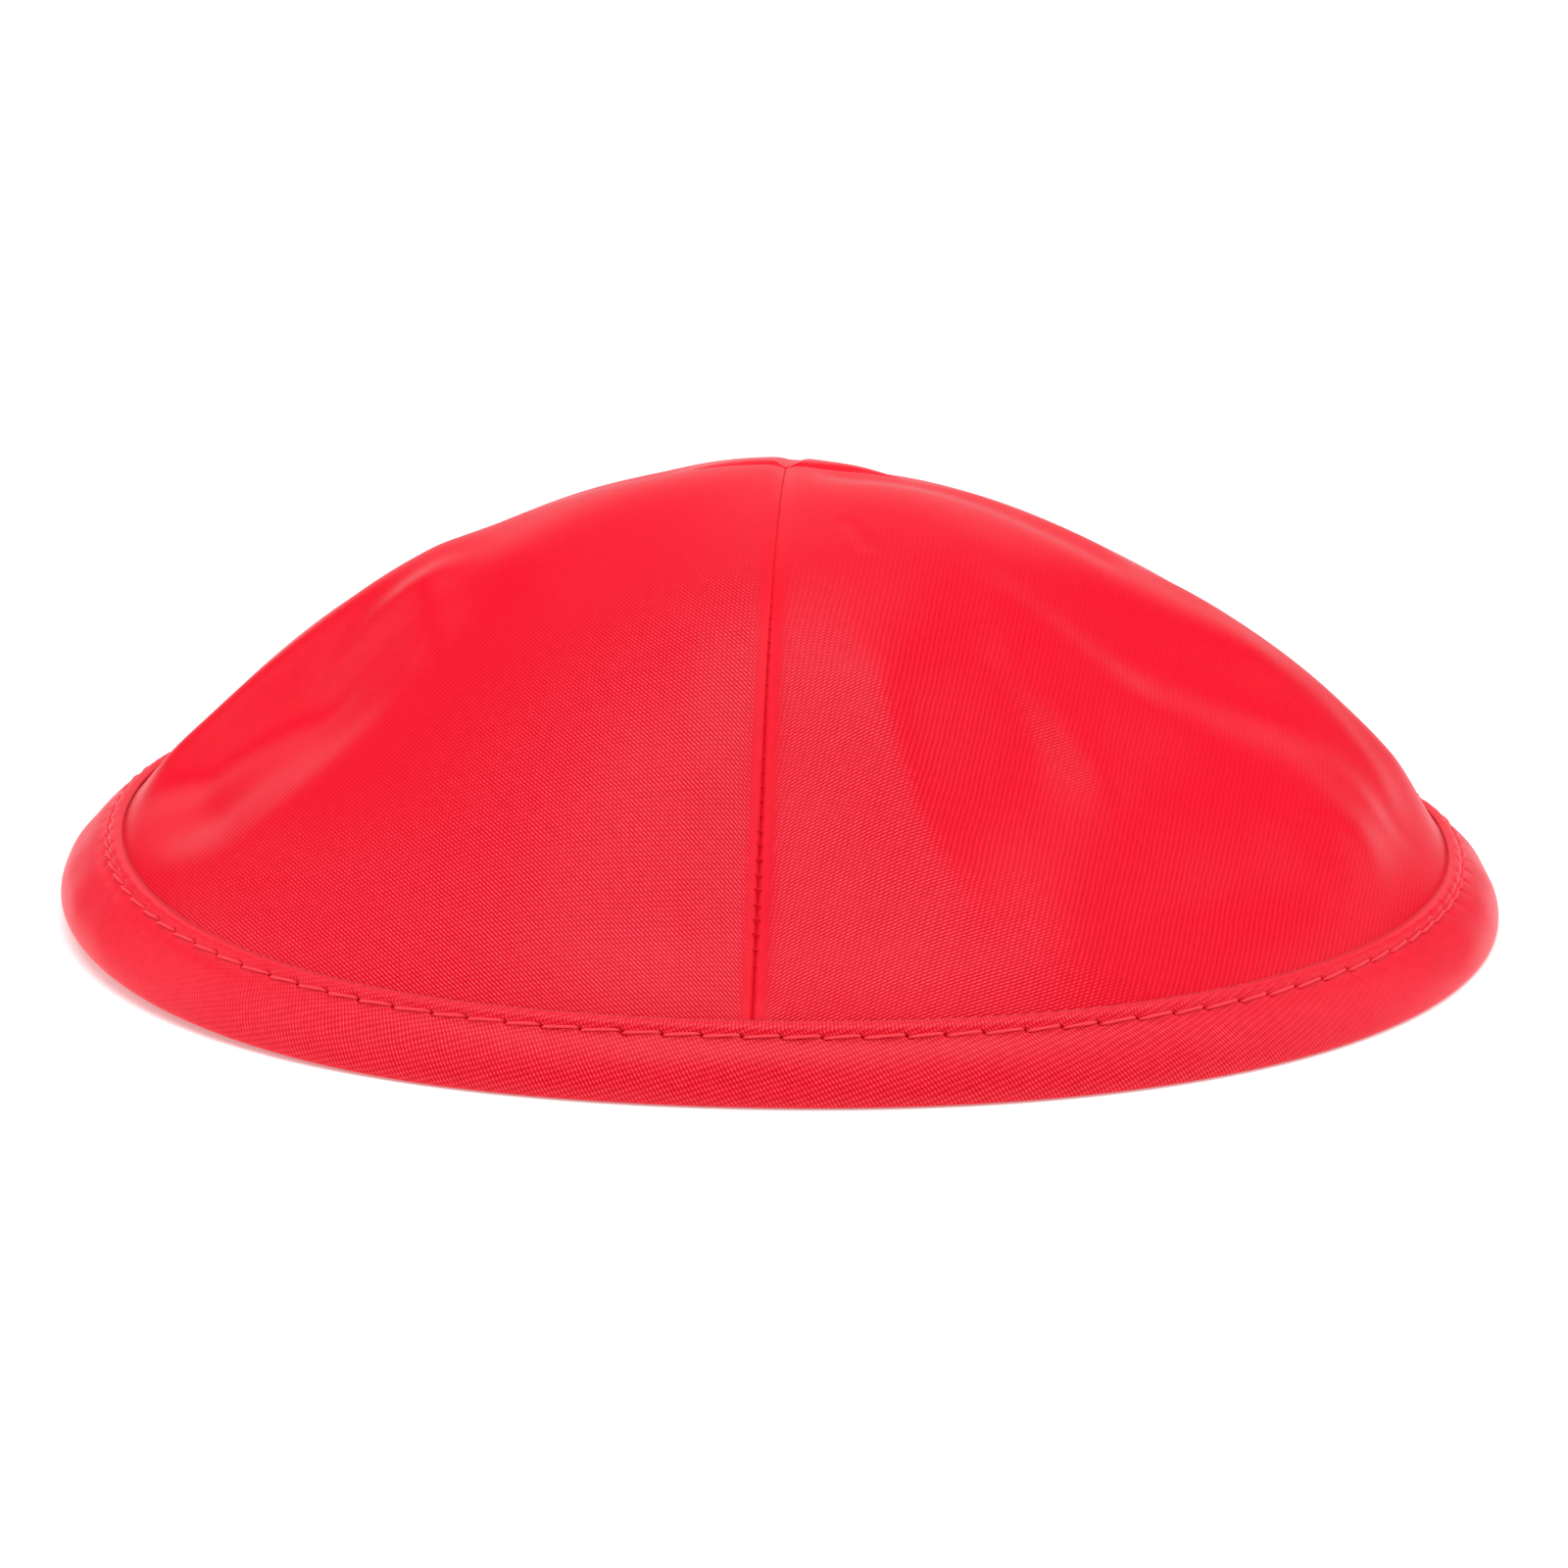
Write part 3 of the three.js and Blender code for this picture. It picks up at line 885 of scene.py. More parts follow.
@dataclass(frozen=True)
class ThreadFinish:
    """Polyester sewing thread: smooth, a little lighter than the cloth as painted highlight, with a fine
    twist.
    """

    name: str
    # Lighter and pinker than the cloth: painted highlight along the thread.
    colour: tuple[float, float, float] = (1.0, 0.062, 0.090)
    roughness: float = 0.5
    specular: float = 0.15
    twist: float = 0.3
    twist_height: float = 0.02

    def make(self) -> bpy.types.Material:
        """Build the material: a sine that slants round the thread, as a bump on its own UV.

        Returns:
            The material.
        """
        gloss = {
            "Base Color": (*self.colour, 1.0),
            "Roughness": self.roughness,
            "Specular IOR Level": self.specular,
            "Specular Tint": (1.0, 0.5, 0.6, 1.0),
        }
        material, shader, wire = start_material(self.name, gloss)
        axes = wire.add("ShaderNodeSeparateXYZ")
        wire.link(wire.uv(), axes.inputs["Vector"])
        slant = wire.math("ADD", axes.outputs["X"], axes.outputs["Y"])
        bump = wire.add("ShaderNodeBump")
        bump.inputs["Distance"].default_value = self.twist_height * MM
        turns = wire.math("MULTIPLY", slant, math.tau / (self.twist * MM))
        wire.link(wire.math("SINE", turns), bump.inputs["Height"])
        wire.link(bump.outputs["Normal"], shader.inputs["Normal"])
        return material


@dataclass
class CrownPanel:
    """One panel of the crown: satin on a stiff backing, rolled into the seams on both sides."""

    name: str
    node: str
    quarter: Quarter
    cap: CapForm
    satin: bpy.types.Material
    underside: bpy.types.Material
    columns: int = 144
    crown_rows: int = 128
    tuck_rows: int = 4
    tuck_end: float = 3.9
    groove_depth: float = 0.35
    groove_width: float = 1.2
    groove_deeper_below: float = 0.2
    low_from: float = 35.0
    low_over: float = 20.0
    top_dip: float = 0.3
    top_dip_place: float = 2.0
    top_dip_width: float = 9.0
    roll_radius: float = 0.45
    seam_turn_in: float = 3.0
    allowance_width: float = 6.0
    allowance_cloth: float = 0.35
    # The weave's bump and painted highlight: least and most share, the front right panel's, and the ease and
    # bell that place it.
    least_weave_glint: float = 0.12
    most_weave_glint: float = 1.0
    front_right_weave_glint: float = 0.85
    weave_glint_from: float = 7.0
    weave_glint_over: float = 42.0
    weave_glint_reach: float = 52.0
    more_reach_at_hem: float = 46.0
    least_cross: float = 0.1
    cross_gain: float = 0.75
    # Painted shade at the seams' bottoms: its width, its least share and gain, and the ease down from the
    # top.
    painted_shade_width: float = 0.3
    least_painted_shade: float = 0.1
    painted_shade_gain: float = 0.45
    painted_shade_from: float = 25.0
    painted_shade_over: float = 25.0

    def seam_distance(self, grid: np.ndarray, turn: np.ndarray) -> np.ndarray:
        """Distance from the nearer seam: the radius times the angle to it.

        Args:
            grid: points on the panel.
            turn: the turn of each.

        Returns:
            The distance of each in millimetres.
        """
        share = turn - self.quarter.value
        nearer = np.minimum(share, 1 - share)
        return np.hypot(grid[..., 0], grid[..., 1]) * nearer * HALF_PI

    def roll(self, distance: np.ndarray, radius: np.ndarray) -> np.ndarray:
        """How far the cloth has turned down at a distance from its seam: a quarter circle."""
        inside = np.clip(radius - distance, 0, radius)
        return radius - np.sqrt(radius**2 - inside**2)

    def out_of_cloth(self, form: np.ndarray, turn: np.ndarray, distance: np.ndarray) -> np.ndarray:
        """The way out of the cloth at each point.

        It is the form's normal, and close to a seam it turns into the seam's upright plane, so that the
        two panels stand side by side there.

        Args:
            form: the panel's smooth form.
            turn: the turn of each point.
            distance: the distance of each from its seam.

        Returns:
            One unit vector for each point.
        """
        normal = surface_normals(form)
        angles = self.cap.azimuth(np.round(turn), np.full(turn.shape, self.quarter.value))
        sideways = np.stack([-np.sin(angles), np.cos(angles), 0 * angles], axis=-1)
        lost = 1 - smooth(distance / self.seam_turn_in)
        leaning = np.sum(normal * sideways, axis=-1)
        upright = normal - (lost * leaning)[..., None] * sideways
        return upright / np.linalg.norm(upright, axis=-1, keepdims=True)

    def form(self) -> tuple[np.ndarray, np.ndarray]:
        """The panel's smooth form, from below the pole to the edge tucked into the binding.

        Returns:
            The grid of points and the turn of each.
        """
        across = np.sin(np.linspace(0, 1, self.columns + 1) * HALF_PI) ** 2
        share = np.linspace(0, 1, self.crown_rows + 1)[1:]
        turn, down = np.meshgrid(self.quarter.value + across, share)
        crown = self.cap.crown(turn, np.full(turn.shape, self.quarter.value), down)
        tucked_turn, tucked = np.meshgrid(turn[0], np.linspace(0, 1, self.tuck_rows + 1)[1:])
        quarters = np.full(tucked_turn.shape, self.quarter.value)
        width = self.cap.band_width(tucked_turn, quarters)
        up = width + (self.tuck_end - width) * tucked
        hem = self.cap.band_point(tucked_turn, quarters, up, self.cap.panel_depth)
        return np.concatenate([crown, hem]), np.concatenate([turn, tucked_turn])

    def lowness(self, form: np.ndarray) -> np.ndarray:
        """How far a point is into the seams' lower part: an ease over its distance from the axis."""
        return smooth((np.hypot(form[..., 0], form[..., 1]) - self.low_from) / self.low_over)

    def faces(self) -> tuple[np.ndarray, np.ndarray, np.ndarray]:
        """The outer and the inner face.

        The outer face is the form moved along its normal by the folds, the groove and the roll at the
        seams. The inner face lies a cloth's thickness behind it, and deeper by one more ply where the
        seam allowance is pressed back on it.

        Returns:
            Both grids in millimetres, and each point's distance from the seam.
        """
        form, turn = self.form()
        distance = self.seam_distance(form, turn)
        normal = self.out_of_cloth(form, turn, distance)
        share = np.minimum((np.arange(len(form)) + 1) / self.crown_rows, 1)[:, None]
        fade = smooth((1 - share) / self.cap.fold_fade)
        from_top = np.hypot(form[..., 0], form[..., 1])
        low = self.lowness(form)
        dip = self.top_dip * hump(from_top - self.top_dip_place, self.top_dip_width)
        deep = self.groove_depth + dip + self.groove_deeper_below * low
        groove = deep * hump(distance, self.groove_width * (1 + 0.5 * low)) * smooth((1 - share) / 0.03)
        folds = self.cap.fold_height(form, FOLDS) + self.cap.ripple(form)
        relief = fade * folds - groove
        rolled = self.roll(distance, self.roll_radius * (0.5 + 0.4 * low))
        outer = form + normal * (relief - rolled)[..., None]
        allowance = self.allowance_cloth * smooth((self.allowance_width - distance) / 0.8) * fade
        inner = form + normal * (relief - self.cap.panel_cloth - allowance)[..., None]
        return outer, inner, distance

    def weave_and_glint_shown(self, outer: np.ndarray) -> np.ndarray:
        """How strongly the weave's bump and its painted highlight show: most low at the front, where the
        threads catch the light.

        It eases in towards the front and fades sideways from the front seam by a bell, which is wider
        near the hem.

        Args:
            outer: the panel's outer face.

        Returns:
            A share for each point.
        """
        most = self.front_right_weave_glint if self.quarter is Quarter.FRONT_RIGHT else self.most_weave_glint
        down = (np.arange(len(outer)) + 1)[:, None] / self.crown_rows
        reach = self.weave_glint_reach + self.more_reach_at_hem * smooth((down - 0.78) / 0.2)
        forward = smooth((-outer[..., 1] - self.weave_glint_from) / self.weave_glint_over)
        return self.least_weave_glint + (most - self.least_weave_glint) * forward * hump(outer[..., 0], reach)

    def cross_shown(self, outer: np.ndarray) -> np.ndarray:
        """How far the cross lines stand out before the ribs.

        It is an ease over how far the cloth faces right and up, because the light picks out one set of
        lines on one side and the other on the other.

        Args:
            outer: the panel's outer face.

        Returns:
            A share for each point.
        """
        facing = surface_normals(outer)
        to_light = 2.2 * facing[..., 0] + 1.5 * (facing[..., 2] - 0.7)
        return self.least_cross + self.cross_gain * smooth((to_light - 0.35) / 0.45)

    def seam_painted_shade(self, outer: np.ndarray, distance: np.ndarray) -> np.ndarray:
        """How far the colour is darkened as painted shade at a seam's bottom: a thin bell at the seam,
        stronger low down.

        Args:
            outer: the panel's outer face.
            distance: the distance of each point from the seam.

        Returns:
            A share for each point.
        """
        from_top = np.hypot(outer[..., 0], outer[..., 1])
        strength = self.least_painted_shade + self.painted_shade_gain * smooth((from_top - self.painted_shade_from) / self.painted_shade_over)
        return strength * hump(distance, self.painted_shade_width)

    def cloth_uv(self, outer: np.ndarray) -> np.ndarray:
        """Place on the flat gore in metres.

        A point keeps its way down from the top, and its way across from the panel's middle line
        becomes a turn about the top: (way down times sine, less way down times cosine).

        Args:
            outer: the panel's outer face.

        Returns:
            One UV for each point.
        """
        down = way_along(outer) + np.hypot(outer[0, :, 0], outer[0, :, 1])
        across = way_along(outer, axis=1)
        middle = outer.shape[1] // 2
        angle = (across - across[:, middle : middle + 1]) / down
        return np.stack([down * np.sin(angle), -down * np.cos(angle)], axis=-1) * MM

    def build(self) -> bpy.types.Object:
        """Make the panel's closed mesh, dress it and join it to the frame.

        Returns:
            The panel.
        """
        outer, inner, distance = self.faces()
        uv = self.cloth_uv(outer)
        sunk = self.groove_depth + self.top_dip + self.roll_radius / 2
        top = np.array([0.0, 0.0, self.cap.crown_height - sunk])
        under_top = top - np.array([0.0, 0.0, self.cap.panel_cloth])
        mesh = ClothMesh()
        weave_and_glint_share = smooth((distance - 0.3) / 1.6) * self.weave_and_glint_shown(outer)
        # Painted shade along the seam's bottom.
        painted_shade = self.seam_painted_shade(outer, distance)
        outside = mesh.add_points(self.cap.in_metres(outer), weave_and_glint_share, self.cross_shown(outer), painted_shade)
        inside = mesh.add_points(self.cap.in_metres(inner))
        poles = mesh.add_points(self.cap.in_metres(np.array([top, under_top])))
        mesh.add_grid(outside, uv)
        mesh.add_grid(inside, uv, flip=True, material=UNDERSIDE)
        mesh.add_pole(int(poles[0]), outside[0], uv[0])
        mesh.add_pole(int(poles[1]), inside[0], uv[0], flip=True, material=UNDERSIDE)
        for column, flip in ((0, True), (-1, False)):
            edge = np.stack([np.append(poles[0], outside[:, column]), np.append(poles[1], inside[:, column])])
            edge_uv = np.concatenate([uv[:1, column], uv[:, column]])
            mesh.add_grid(edge.T, np.stack([edge_uv, edge_uv], axis=1), flip=not flip, material=UNDERSIDE)
        hem = np.stack([outside[-1], inside[-1]])
        mesh.add_grid(hem, np.stack([uv[-1], uv[-1]]), material=UNDERSIDE)
        panel = mesh.make(self.name)
        join(panel, [self.satin, self.underside], self.node)
        return panel


class Anchor(Enum):
    """What a knot of the binding's section is measured from."""

    UPPER_EDGE = "down from the upper edge"
    LOWER_FOLD = "up from the lower fold"
    TABLE = "in from the rim on the table"


@dataclass(frozen=True)
class SectionKnot:
    """A knot of the binding's closed section.

    It has its way along, its depth behind the face or its height over the table, the rows to the next
    knot, and how much of the stitching's relief it takes.
    """

    anchor: Anchor
    along: float
    depth: float
    rows: int
    relief: float = 0.0


BINDING_SECTION = (
    SectionKnot(Anchor.UPPER_EDGE, 0.10, 1.27, 2),
    SectionKnot(Anchor.UPPER_EDGE, -0.05, 0.80, 3, 0.2),
    SectionKnot(Anchor.UPPER_EDGE, 0.18, 0.36, 3, 0.8),
    SectionKnot(Anchor.UPPER_EDGE, 0.70, 0.14, 7, 1.0),
    SectionKnot(Anchor.UPPER_EDGE, 1.55, 0.20, 8, 1.0),
    SectionKnot(Anchor.UPPER_EDGE, 2.40, 0.10, 4, 1.0),
    SectionKnot(Anchor.UPPER_EDGE, 3.70, -0.28, 4, 1.0),
    SectionKnot(Anchor.LOWER_FOLD, 4.40, -0.50, 5, 1.0),
    SectionKnot(Anchor.LOWER_FOLD, 2.60, -0.38, 4, 0.9),
    SectionKnot(Anchor.LOWER_FOLD, 1.10, 0.12, 3, 0.4),
    SectionKnot(Anchor.TABLE, 1.10, 0.15, 3),
    SectionKnot(Anchor.TABLE, 2.90, 0.10, 3),
    SectionKnot(Anchor.LOWER_FOLD, 3.20, 3.60, 4),
    SectionKnot(Anchor.LOWER_FOLD, 5.20, 3.72, 4),
    SectionKnot(Anchor.UPPER_EDGE, 1.65, 3.34, 3),
    SectionKnot(Anchor.UPPER_EDGE, 0.75, 3.42, 2),
    SectionKnot(Anchor.UPPER_EDGE, 0.45, 3.00, 2),
    SectionKnot(Anchor.UPPER_EDGE, 0.60, 2.52, 3),
    SectionKnot(Anchor.LOWER_FOLD, 3.60, 2.62, 2),
    SectionKnot(Anchor.LOWER_FOLD, 3.60, 1.08, 4),
)


@dataclass
class StitchRun:
    """Where the needle went down round the binding, anticlockwise from the back seam."""

    cap: CapForm
    count: int = 111
    below_edge: float = 1.55
    knot_azimuth: float = 256.8
    unevenness: float = 0.06
    seed: int = 11
    ways: np.ndarray = field(init=False)
    turns: np.ndarray = field(init=False)
    junctions: np.ndarray = field(init=False)
    knot: int = field(init=False)

    def __post_init__(self) -> None:
        """Measure the way round the stitch line and share it out among the stitches.

        One needle hole falls on the knot that shows in the photo, and the others are uneven by chance.
        """
        self.turns = np.linspace(1, 5, 5761)
        turn = self.turns % 4
        quarter = self.cap.quarter_of(turn)
        up = self.cap.band_width(turn, quarter) - self.below_edge
        line = self.cap.band_point(turn, quarter, up, 0.0)
        self.ways = way_along(line)
        pitch = self.length / self.count
        angles = np.unwrap(np.arctan2(line[:, 1], line[:, 0]))
        knot_way = float(np.interp(math.radians(self.knot_azimuth), angles, self.ways))
        self.knot = int(knot_way / pitch)
        chance = np.random.default_rng(self.seed).uniform(-1, 1, self.count) * self.unevenness * pitch
        chance[self.knot] = 0.0
        first = knot_way - self.knot * pitch
        holes = first + np.arange(self.count) * pitch + chance
        self.junctions = np.append(holes, holes[0] + self.length)

    @property
    def length(self) -> float:
        """The way once round."""
        return float(self.ways[-1])

    def turn_at(self, way: np.ndarray) -> np.ndarray:
        """The turn at a way round, 0 to 4."""
        return np.interp(way % self.length, self.ways, self.turns) % 4


@dataclass
class RimBinding:
    """The strip of satin folded over the crown's hem and stitched through near its upper edge."""

    cap: CapForm
    run: StitchRun
    satin: bpy.types.Material
    name: str = "satin_rim_binding"
    node: str = "rim_binding"
    columns_to_a_stitch: int = 12
    crowding: float = 0.78
    hole_length: float = 0.50
    hole_width: float = 0.20
    hole_slant: float = 38.0
    hole_depth: float = 0.48
    knot_scale: float = 1.5
    pull_depth: float = 0.10
    drag_depth: float = 0.07
    # Painted shade in the needle holes begins this share of a hole's depth down.
    painted_shade_from: float = 0.3
    wave_height: float = 0.05
    front_hollow: float = 0.35
    # The weave's bump and painted highlight: least share and gain towards the front.
    least_weave_glint: float = 0.08
    weave_glint_gain: float = 0.85
    strip_width: float = 0.022
    strip_length: float = 0.52
    seed: int = 5

    def section(self, turn: np.ndarray, quarter: np.ndarray) -> tuple[np.ndarray, np.ndarray, np.ndarray]:
        """The closed section at each turn: a Catmull-Rom curve through the knots.

        Args:
            turn: the turns.
            quarter: the quarter of each.

        Returns:
            The way up the face and the depth of each row at each turn, and each row's share of relief.
        """
        inset, rise, width = self.cap.slope(turn, quarter)
        ups, depths = [], []
        for knot in BINDING_SECTION:
            if knot.anchor is Anchor.TABLE:
                ups.append((knot.along * inset + knot.depth * rise) / width)
                depths.append((knot.along * rise - knot.depth * inset) / width)
            else:
                from_fold = knot.anchor is Anchor.LOWER_FOLD
                ups.append(knot.along + 0 * width if from_fold else width - knot.along)
                depths.append(knot.depth + 0 * width)
        weights = self.spline_weights([knot.rows for knot in BINDING_SECTION])
        relief = weights @ np.array([knot.relief for knot in BINDING_SECTION])
        return weights @ np.stack(ups), weights @ np.stack(depths), np.clip(relief, 0, 1)

    def spline_weights(self, rows: list[int]) -> np.ndarray:
        """The weight of each knot in each row of a closed Catmull-Rom curve.

        Args:
            rows: the rows from each knot to the next.

        Returns:
            One line for each row and one column for each knot.
        """
        count = len(rows)
        weights = np.zeros((sum(rows), count))
        start = np.repeat(np.arange(count), rows)
        first = np.repeat(np.cumsum([0, *rows[:-1]]), rows)
        t = (np.arange(sum(rows)) - first) / np.repeat(rows, rows)
        parts = (
            (-1, (-t + 2 * t**2 - t**3) / 2),
            (0, (2 - 5 * t**2 + 3 * t**3) / 2),
            (1, (t + 4 * t**2 - 3 * t**3) / 2),
            (2, (t**3 - t**2) / 2),
        )
        for shift, part in parts:
            weights[np.arange(sum(rows)), (start + shift) % count] += part
        return weights

    def stitch_relief(self, way: np.ndarray, below: np.ndarray) -> np.ndarray:
        """The needle holes and the pull of the stitches.

        A hole is a slanting oval dip. The cloth round it is drawn in a little, most on the strip above, which
        swells between two holes.

        Args:
            way: the way round of each point.
            below: its way down from the upper edge.

        Returns:
            The height out of the cloth, mostly below 0.
        """
        holes = self.run.junctions
        ring = np.concatenate([holes[:-1] - self.run.length, holes[:-1], holes[:-1] + self.run.length])
        after = np.searchsorted(ring, way)
        before_gap = way - ring[after - 1]
        after_gap = ring[after] - way
        nearer_before = before_gap < after_gap
        along = np.where(nearer_before, before_gap, -after_gap)
        number = np.where(nearer_before, after - 1, after) % self.run.count
        at_knot = number == self.run.knot
        down = below - self.run.below_edge
        slant = math.radians(self.hole_slant)
        long_way = along * math.cos(slant) + down * math.sin(slant)
        short_way = down * math.cos(slant) - along * math.sin(slant)
        larger = np.where(at_knot, self.knot_scale, 1.0)
        oval = (long_way / (self.hole_length * larger)) ** 2 + (short_way / (self.hole_width * larger)) ** 2
        pits = -self.hole_depth * np.exp(-(oval**1.3))
        pull = -self.pull_depth * hump(along, 0.7) * hump(down + 0.75, 0.8)
        drag = -self.drag_depth * hump(along - 0.5 * down, 0.6) * hump(down - 0.8, 0.9)
        return pits + pull + drag

    def wander(self, way: np.ndarray, up: np.ndarray) -> np.ndarray:
        """Slow waves of the cloth round the rim, and the slight hollow low at the front.

        Args:
            way: the way round of each point.
            up: its way up from the lower fold.

        Returns:
            The height out of the cloth.
        """
        chance = np.random.default_rng(self.seed)
        whole = self.run.length
        waves = np.zeros(np.broadcast(way, up).shape)
        for cycles in (7, 11, 17, 26, 39):
            phase = chance.uniform(0, math.tau)
            waves += self.wave_height * np.sin(math.tau * cycles * way / whole + phase + 0.12 * up)
        front = np.interp(3.0, self.run.turns, self.run.ways)
        hollow = -self.front_hollow * hump(way - front, 6.0) * hump(up - 2.8, 1.4)
        return waves * hump(up - 4.5, 3.5) + hollow

    def grid(self) -> tuple[np.ndarray, np.ndarray, np.ndarray]:
        """The binding's surface.

        Returns:
            Its points in millimetres, rows round the section and columns round the rim, each column's way
            round, and how far each point's colour is darkened as painted shade in a needle hole.
        """
        share = np.linspace(0, 1, self.columns_to_a_stitch + 1)[:-1]
        crowded = share - self.crowding * np.sin(math.tau * share) / math.tau
        starts, ends = self.run.junctions[:-1], self.run.junctions[1:]
        way = (starts[:, None] + (ends - starts)[:, None] * crowded).ravel()
        turn = self.run.turn_at(way)
        quarter = self.cap.quarter_of(turn)
        up, depth, relief = self.section(turn, quarter)
        below = self.cap.band_width(turn, quarter) - up
        ways = np.broadcast_to(way % self.run.length, up.shape)
        stitched = self.stitch_relief(ways, below)
        depth = depth - relief[:, None] * (stitched + self.wander(ways, up))
        turns = np.broadcast_to(turn, up.shape)
        points = self.cap.band_point(turns, np.broadcast_to(quarter, up.shape), up, depth)
        # Painted shade in the needle holes, from how far each point lies down a hole.
        most = 1 - self.painted_shade_from
        painted_shade = relief[:, None] * np.clip(-stitched / self.hole_depth - self.painted_shade_from, 0, most) / most
        return points, way, painted_shade

    def weave_and_glint_shown(self, points: np.ndarray) -> np.ndarray:
        """How strongly the weave's bump and its painted highlight show: an ease from 36 to 70 mm in front of
        the cap's middle.
        """
        return self.least_weave_glint + self.weave_glint_gain * smooth((-points[..., 1] - 36.0) / 34.0)

    def build(self) -> bpy.types.Object:
        """Make the binding's closed mesh, dress it and join it to the frame.

        Returns:
            The binding.
        """
        points, way, painted_shade = self.grid()
        mesh = ClothMesh()
        numbers = mesh.add_points(self.cap.in_metres(points), self.weave_and_glint_shown(points), painted_shade=painted_shade)
        round_rim = np.concatenate([numbers, numbers[:, :1]], axis=1)
        closed = np.concatenate([round_rim, round_rim[:1]])
        middle = points[:, 0]
        down = way_along(np.concatenate([middle, middle[:1]]))
        u = np.append(way, way[0] + self.run.length)
        uv = np.stack(np.broadcast_arrays(u[None, :], -down[:, None]), axis=-1) * MM
        mesh.add_grid(closed, uv)
        binding = mesh.make(self.name)
        join(binding, [self.satin], self.node)
        LOG.info("%s: %.1f mm round the section, %.0f mm round", self.name, down[-1], self.run.length)
        return binding


@dataclass
class Topstitch:
    """The stitches round the binding, one thread piece from needle hole to needle hole."""

    cap: CapForm
    run: StitchRun
    thread: bpy.types.Material
    name: str = "topstitch"
    radius: float = 0.17
    slant: float = 0.16
    sides: int = 6
    outer_depth: float = 0.09
    outer_hole: float = 0.70
    inner_depth: float = 3.45
    inner_hole: float = 2.9

    def paths(self, depth_over: float, depth_in_hole: float, slant: float) -> tuple[np.ndarray, np.ndarray]:
        """The middle line of each thread piece.

        It comes up out of one hole, lies along the line and goes down the next. Its left end lies a
        little lower on the binding than its right end.

        Args:
            depth_over: the depth behind the face along most of the way.
            depth_in_hole: the depth in the holes.
            slant: half the drop from one end to the other.

        Returns:
            The points in millimetres and the directions out of the cloth.
        """
        share = np.array([0.03, 0.07, 0.14, 0.3, 0.5, 0.7, 0.86, 0.93, 0.97])
        sunk = np.array([1.0, 0.55, 0.12, 0.0, -0.05, 0.0, 0.12, 0.55, 1.0])
        holes = self.run.junctions
        way = holes[:-1, None] + (holes[1:] - holes[:-1])[:, None] * share
        turn = self.run.turn_at(way)
        quarter = self.cap.quarter_of(turn)
        below = self.run.below_edge + slant * (1 - 2 * share)
        up = self.cap.band_width(turn, quarter) - below
        depth = depth_over + (depth_in_hole - depth_over) * sunk
        points = self.cap.band_point(turn, quarter, up, depth)
        outward = points - self.cap.band_point(turn, quarter, up, depth + 1.0)
        return points, outward

    def build(self) -> bpy.types.Object:
        """Make all thread pieces as one mesh and join them to the frame.

        Returns:
            The stitches.
        """
        thin_ends = np.array([0.6, 0.85, 1.0, 1.0, 1.0, 1.0, 1.0, 0.85, 0.6])
        mesh = ClothMesh()
        outside = (self.outer_depth, self.outer_hole, self.slant)
        inside = (self.inner_depth, self.inner_hole, 0.0)
        for over, in_hole, slant in (outside, inside):
            points, outward = self.paths(over, in_hole, slant)
            tubes(mesh, self.cap.in_metres(points), outward, thin_ends * self.radius * MM, self.sides)
        stitches = mesh.make(self.name)
        join(stitches, [self.thread])
        return stitches


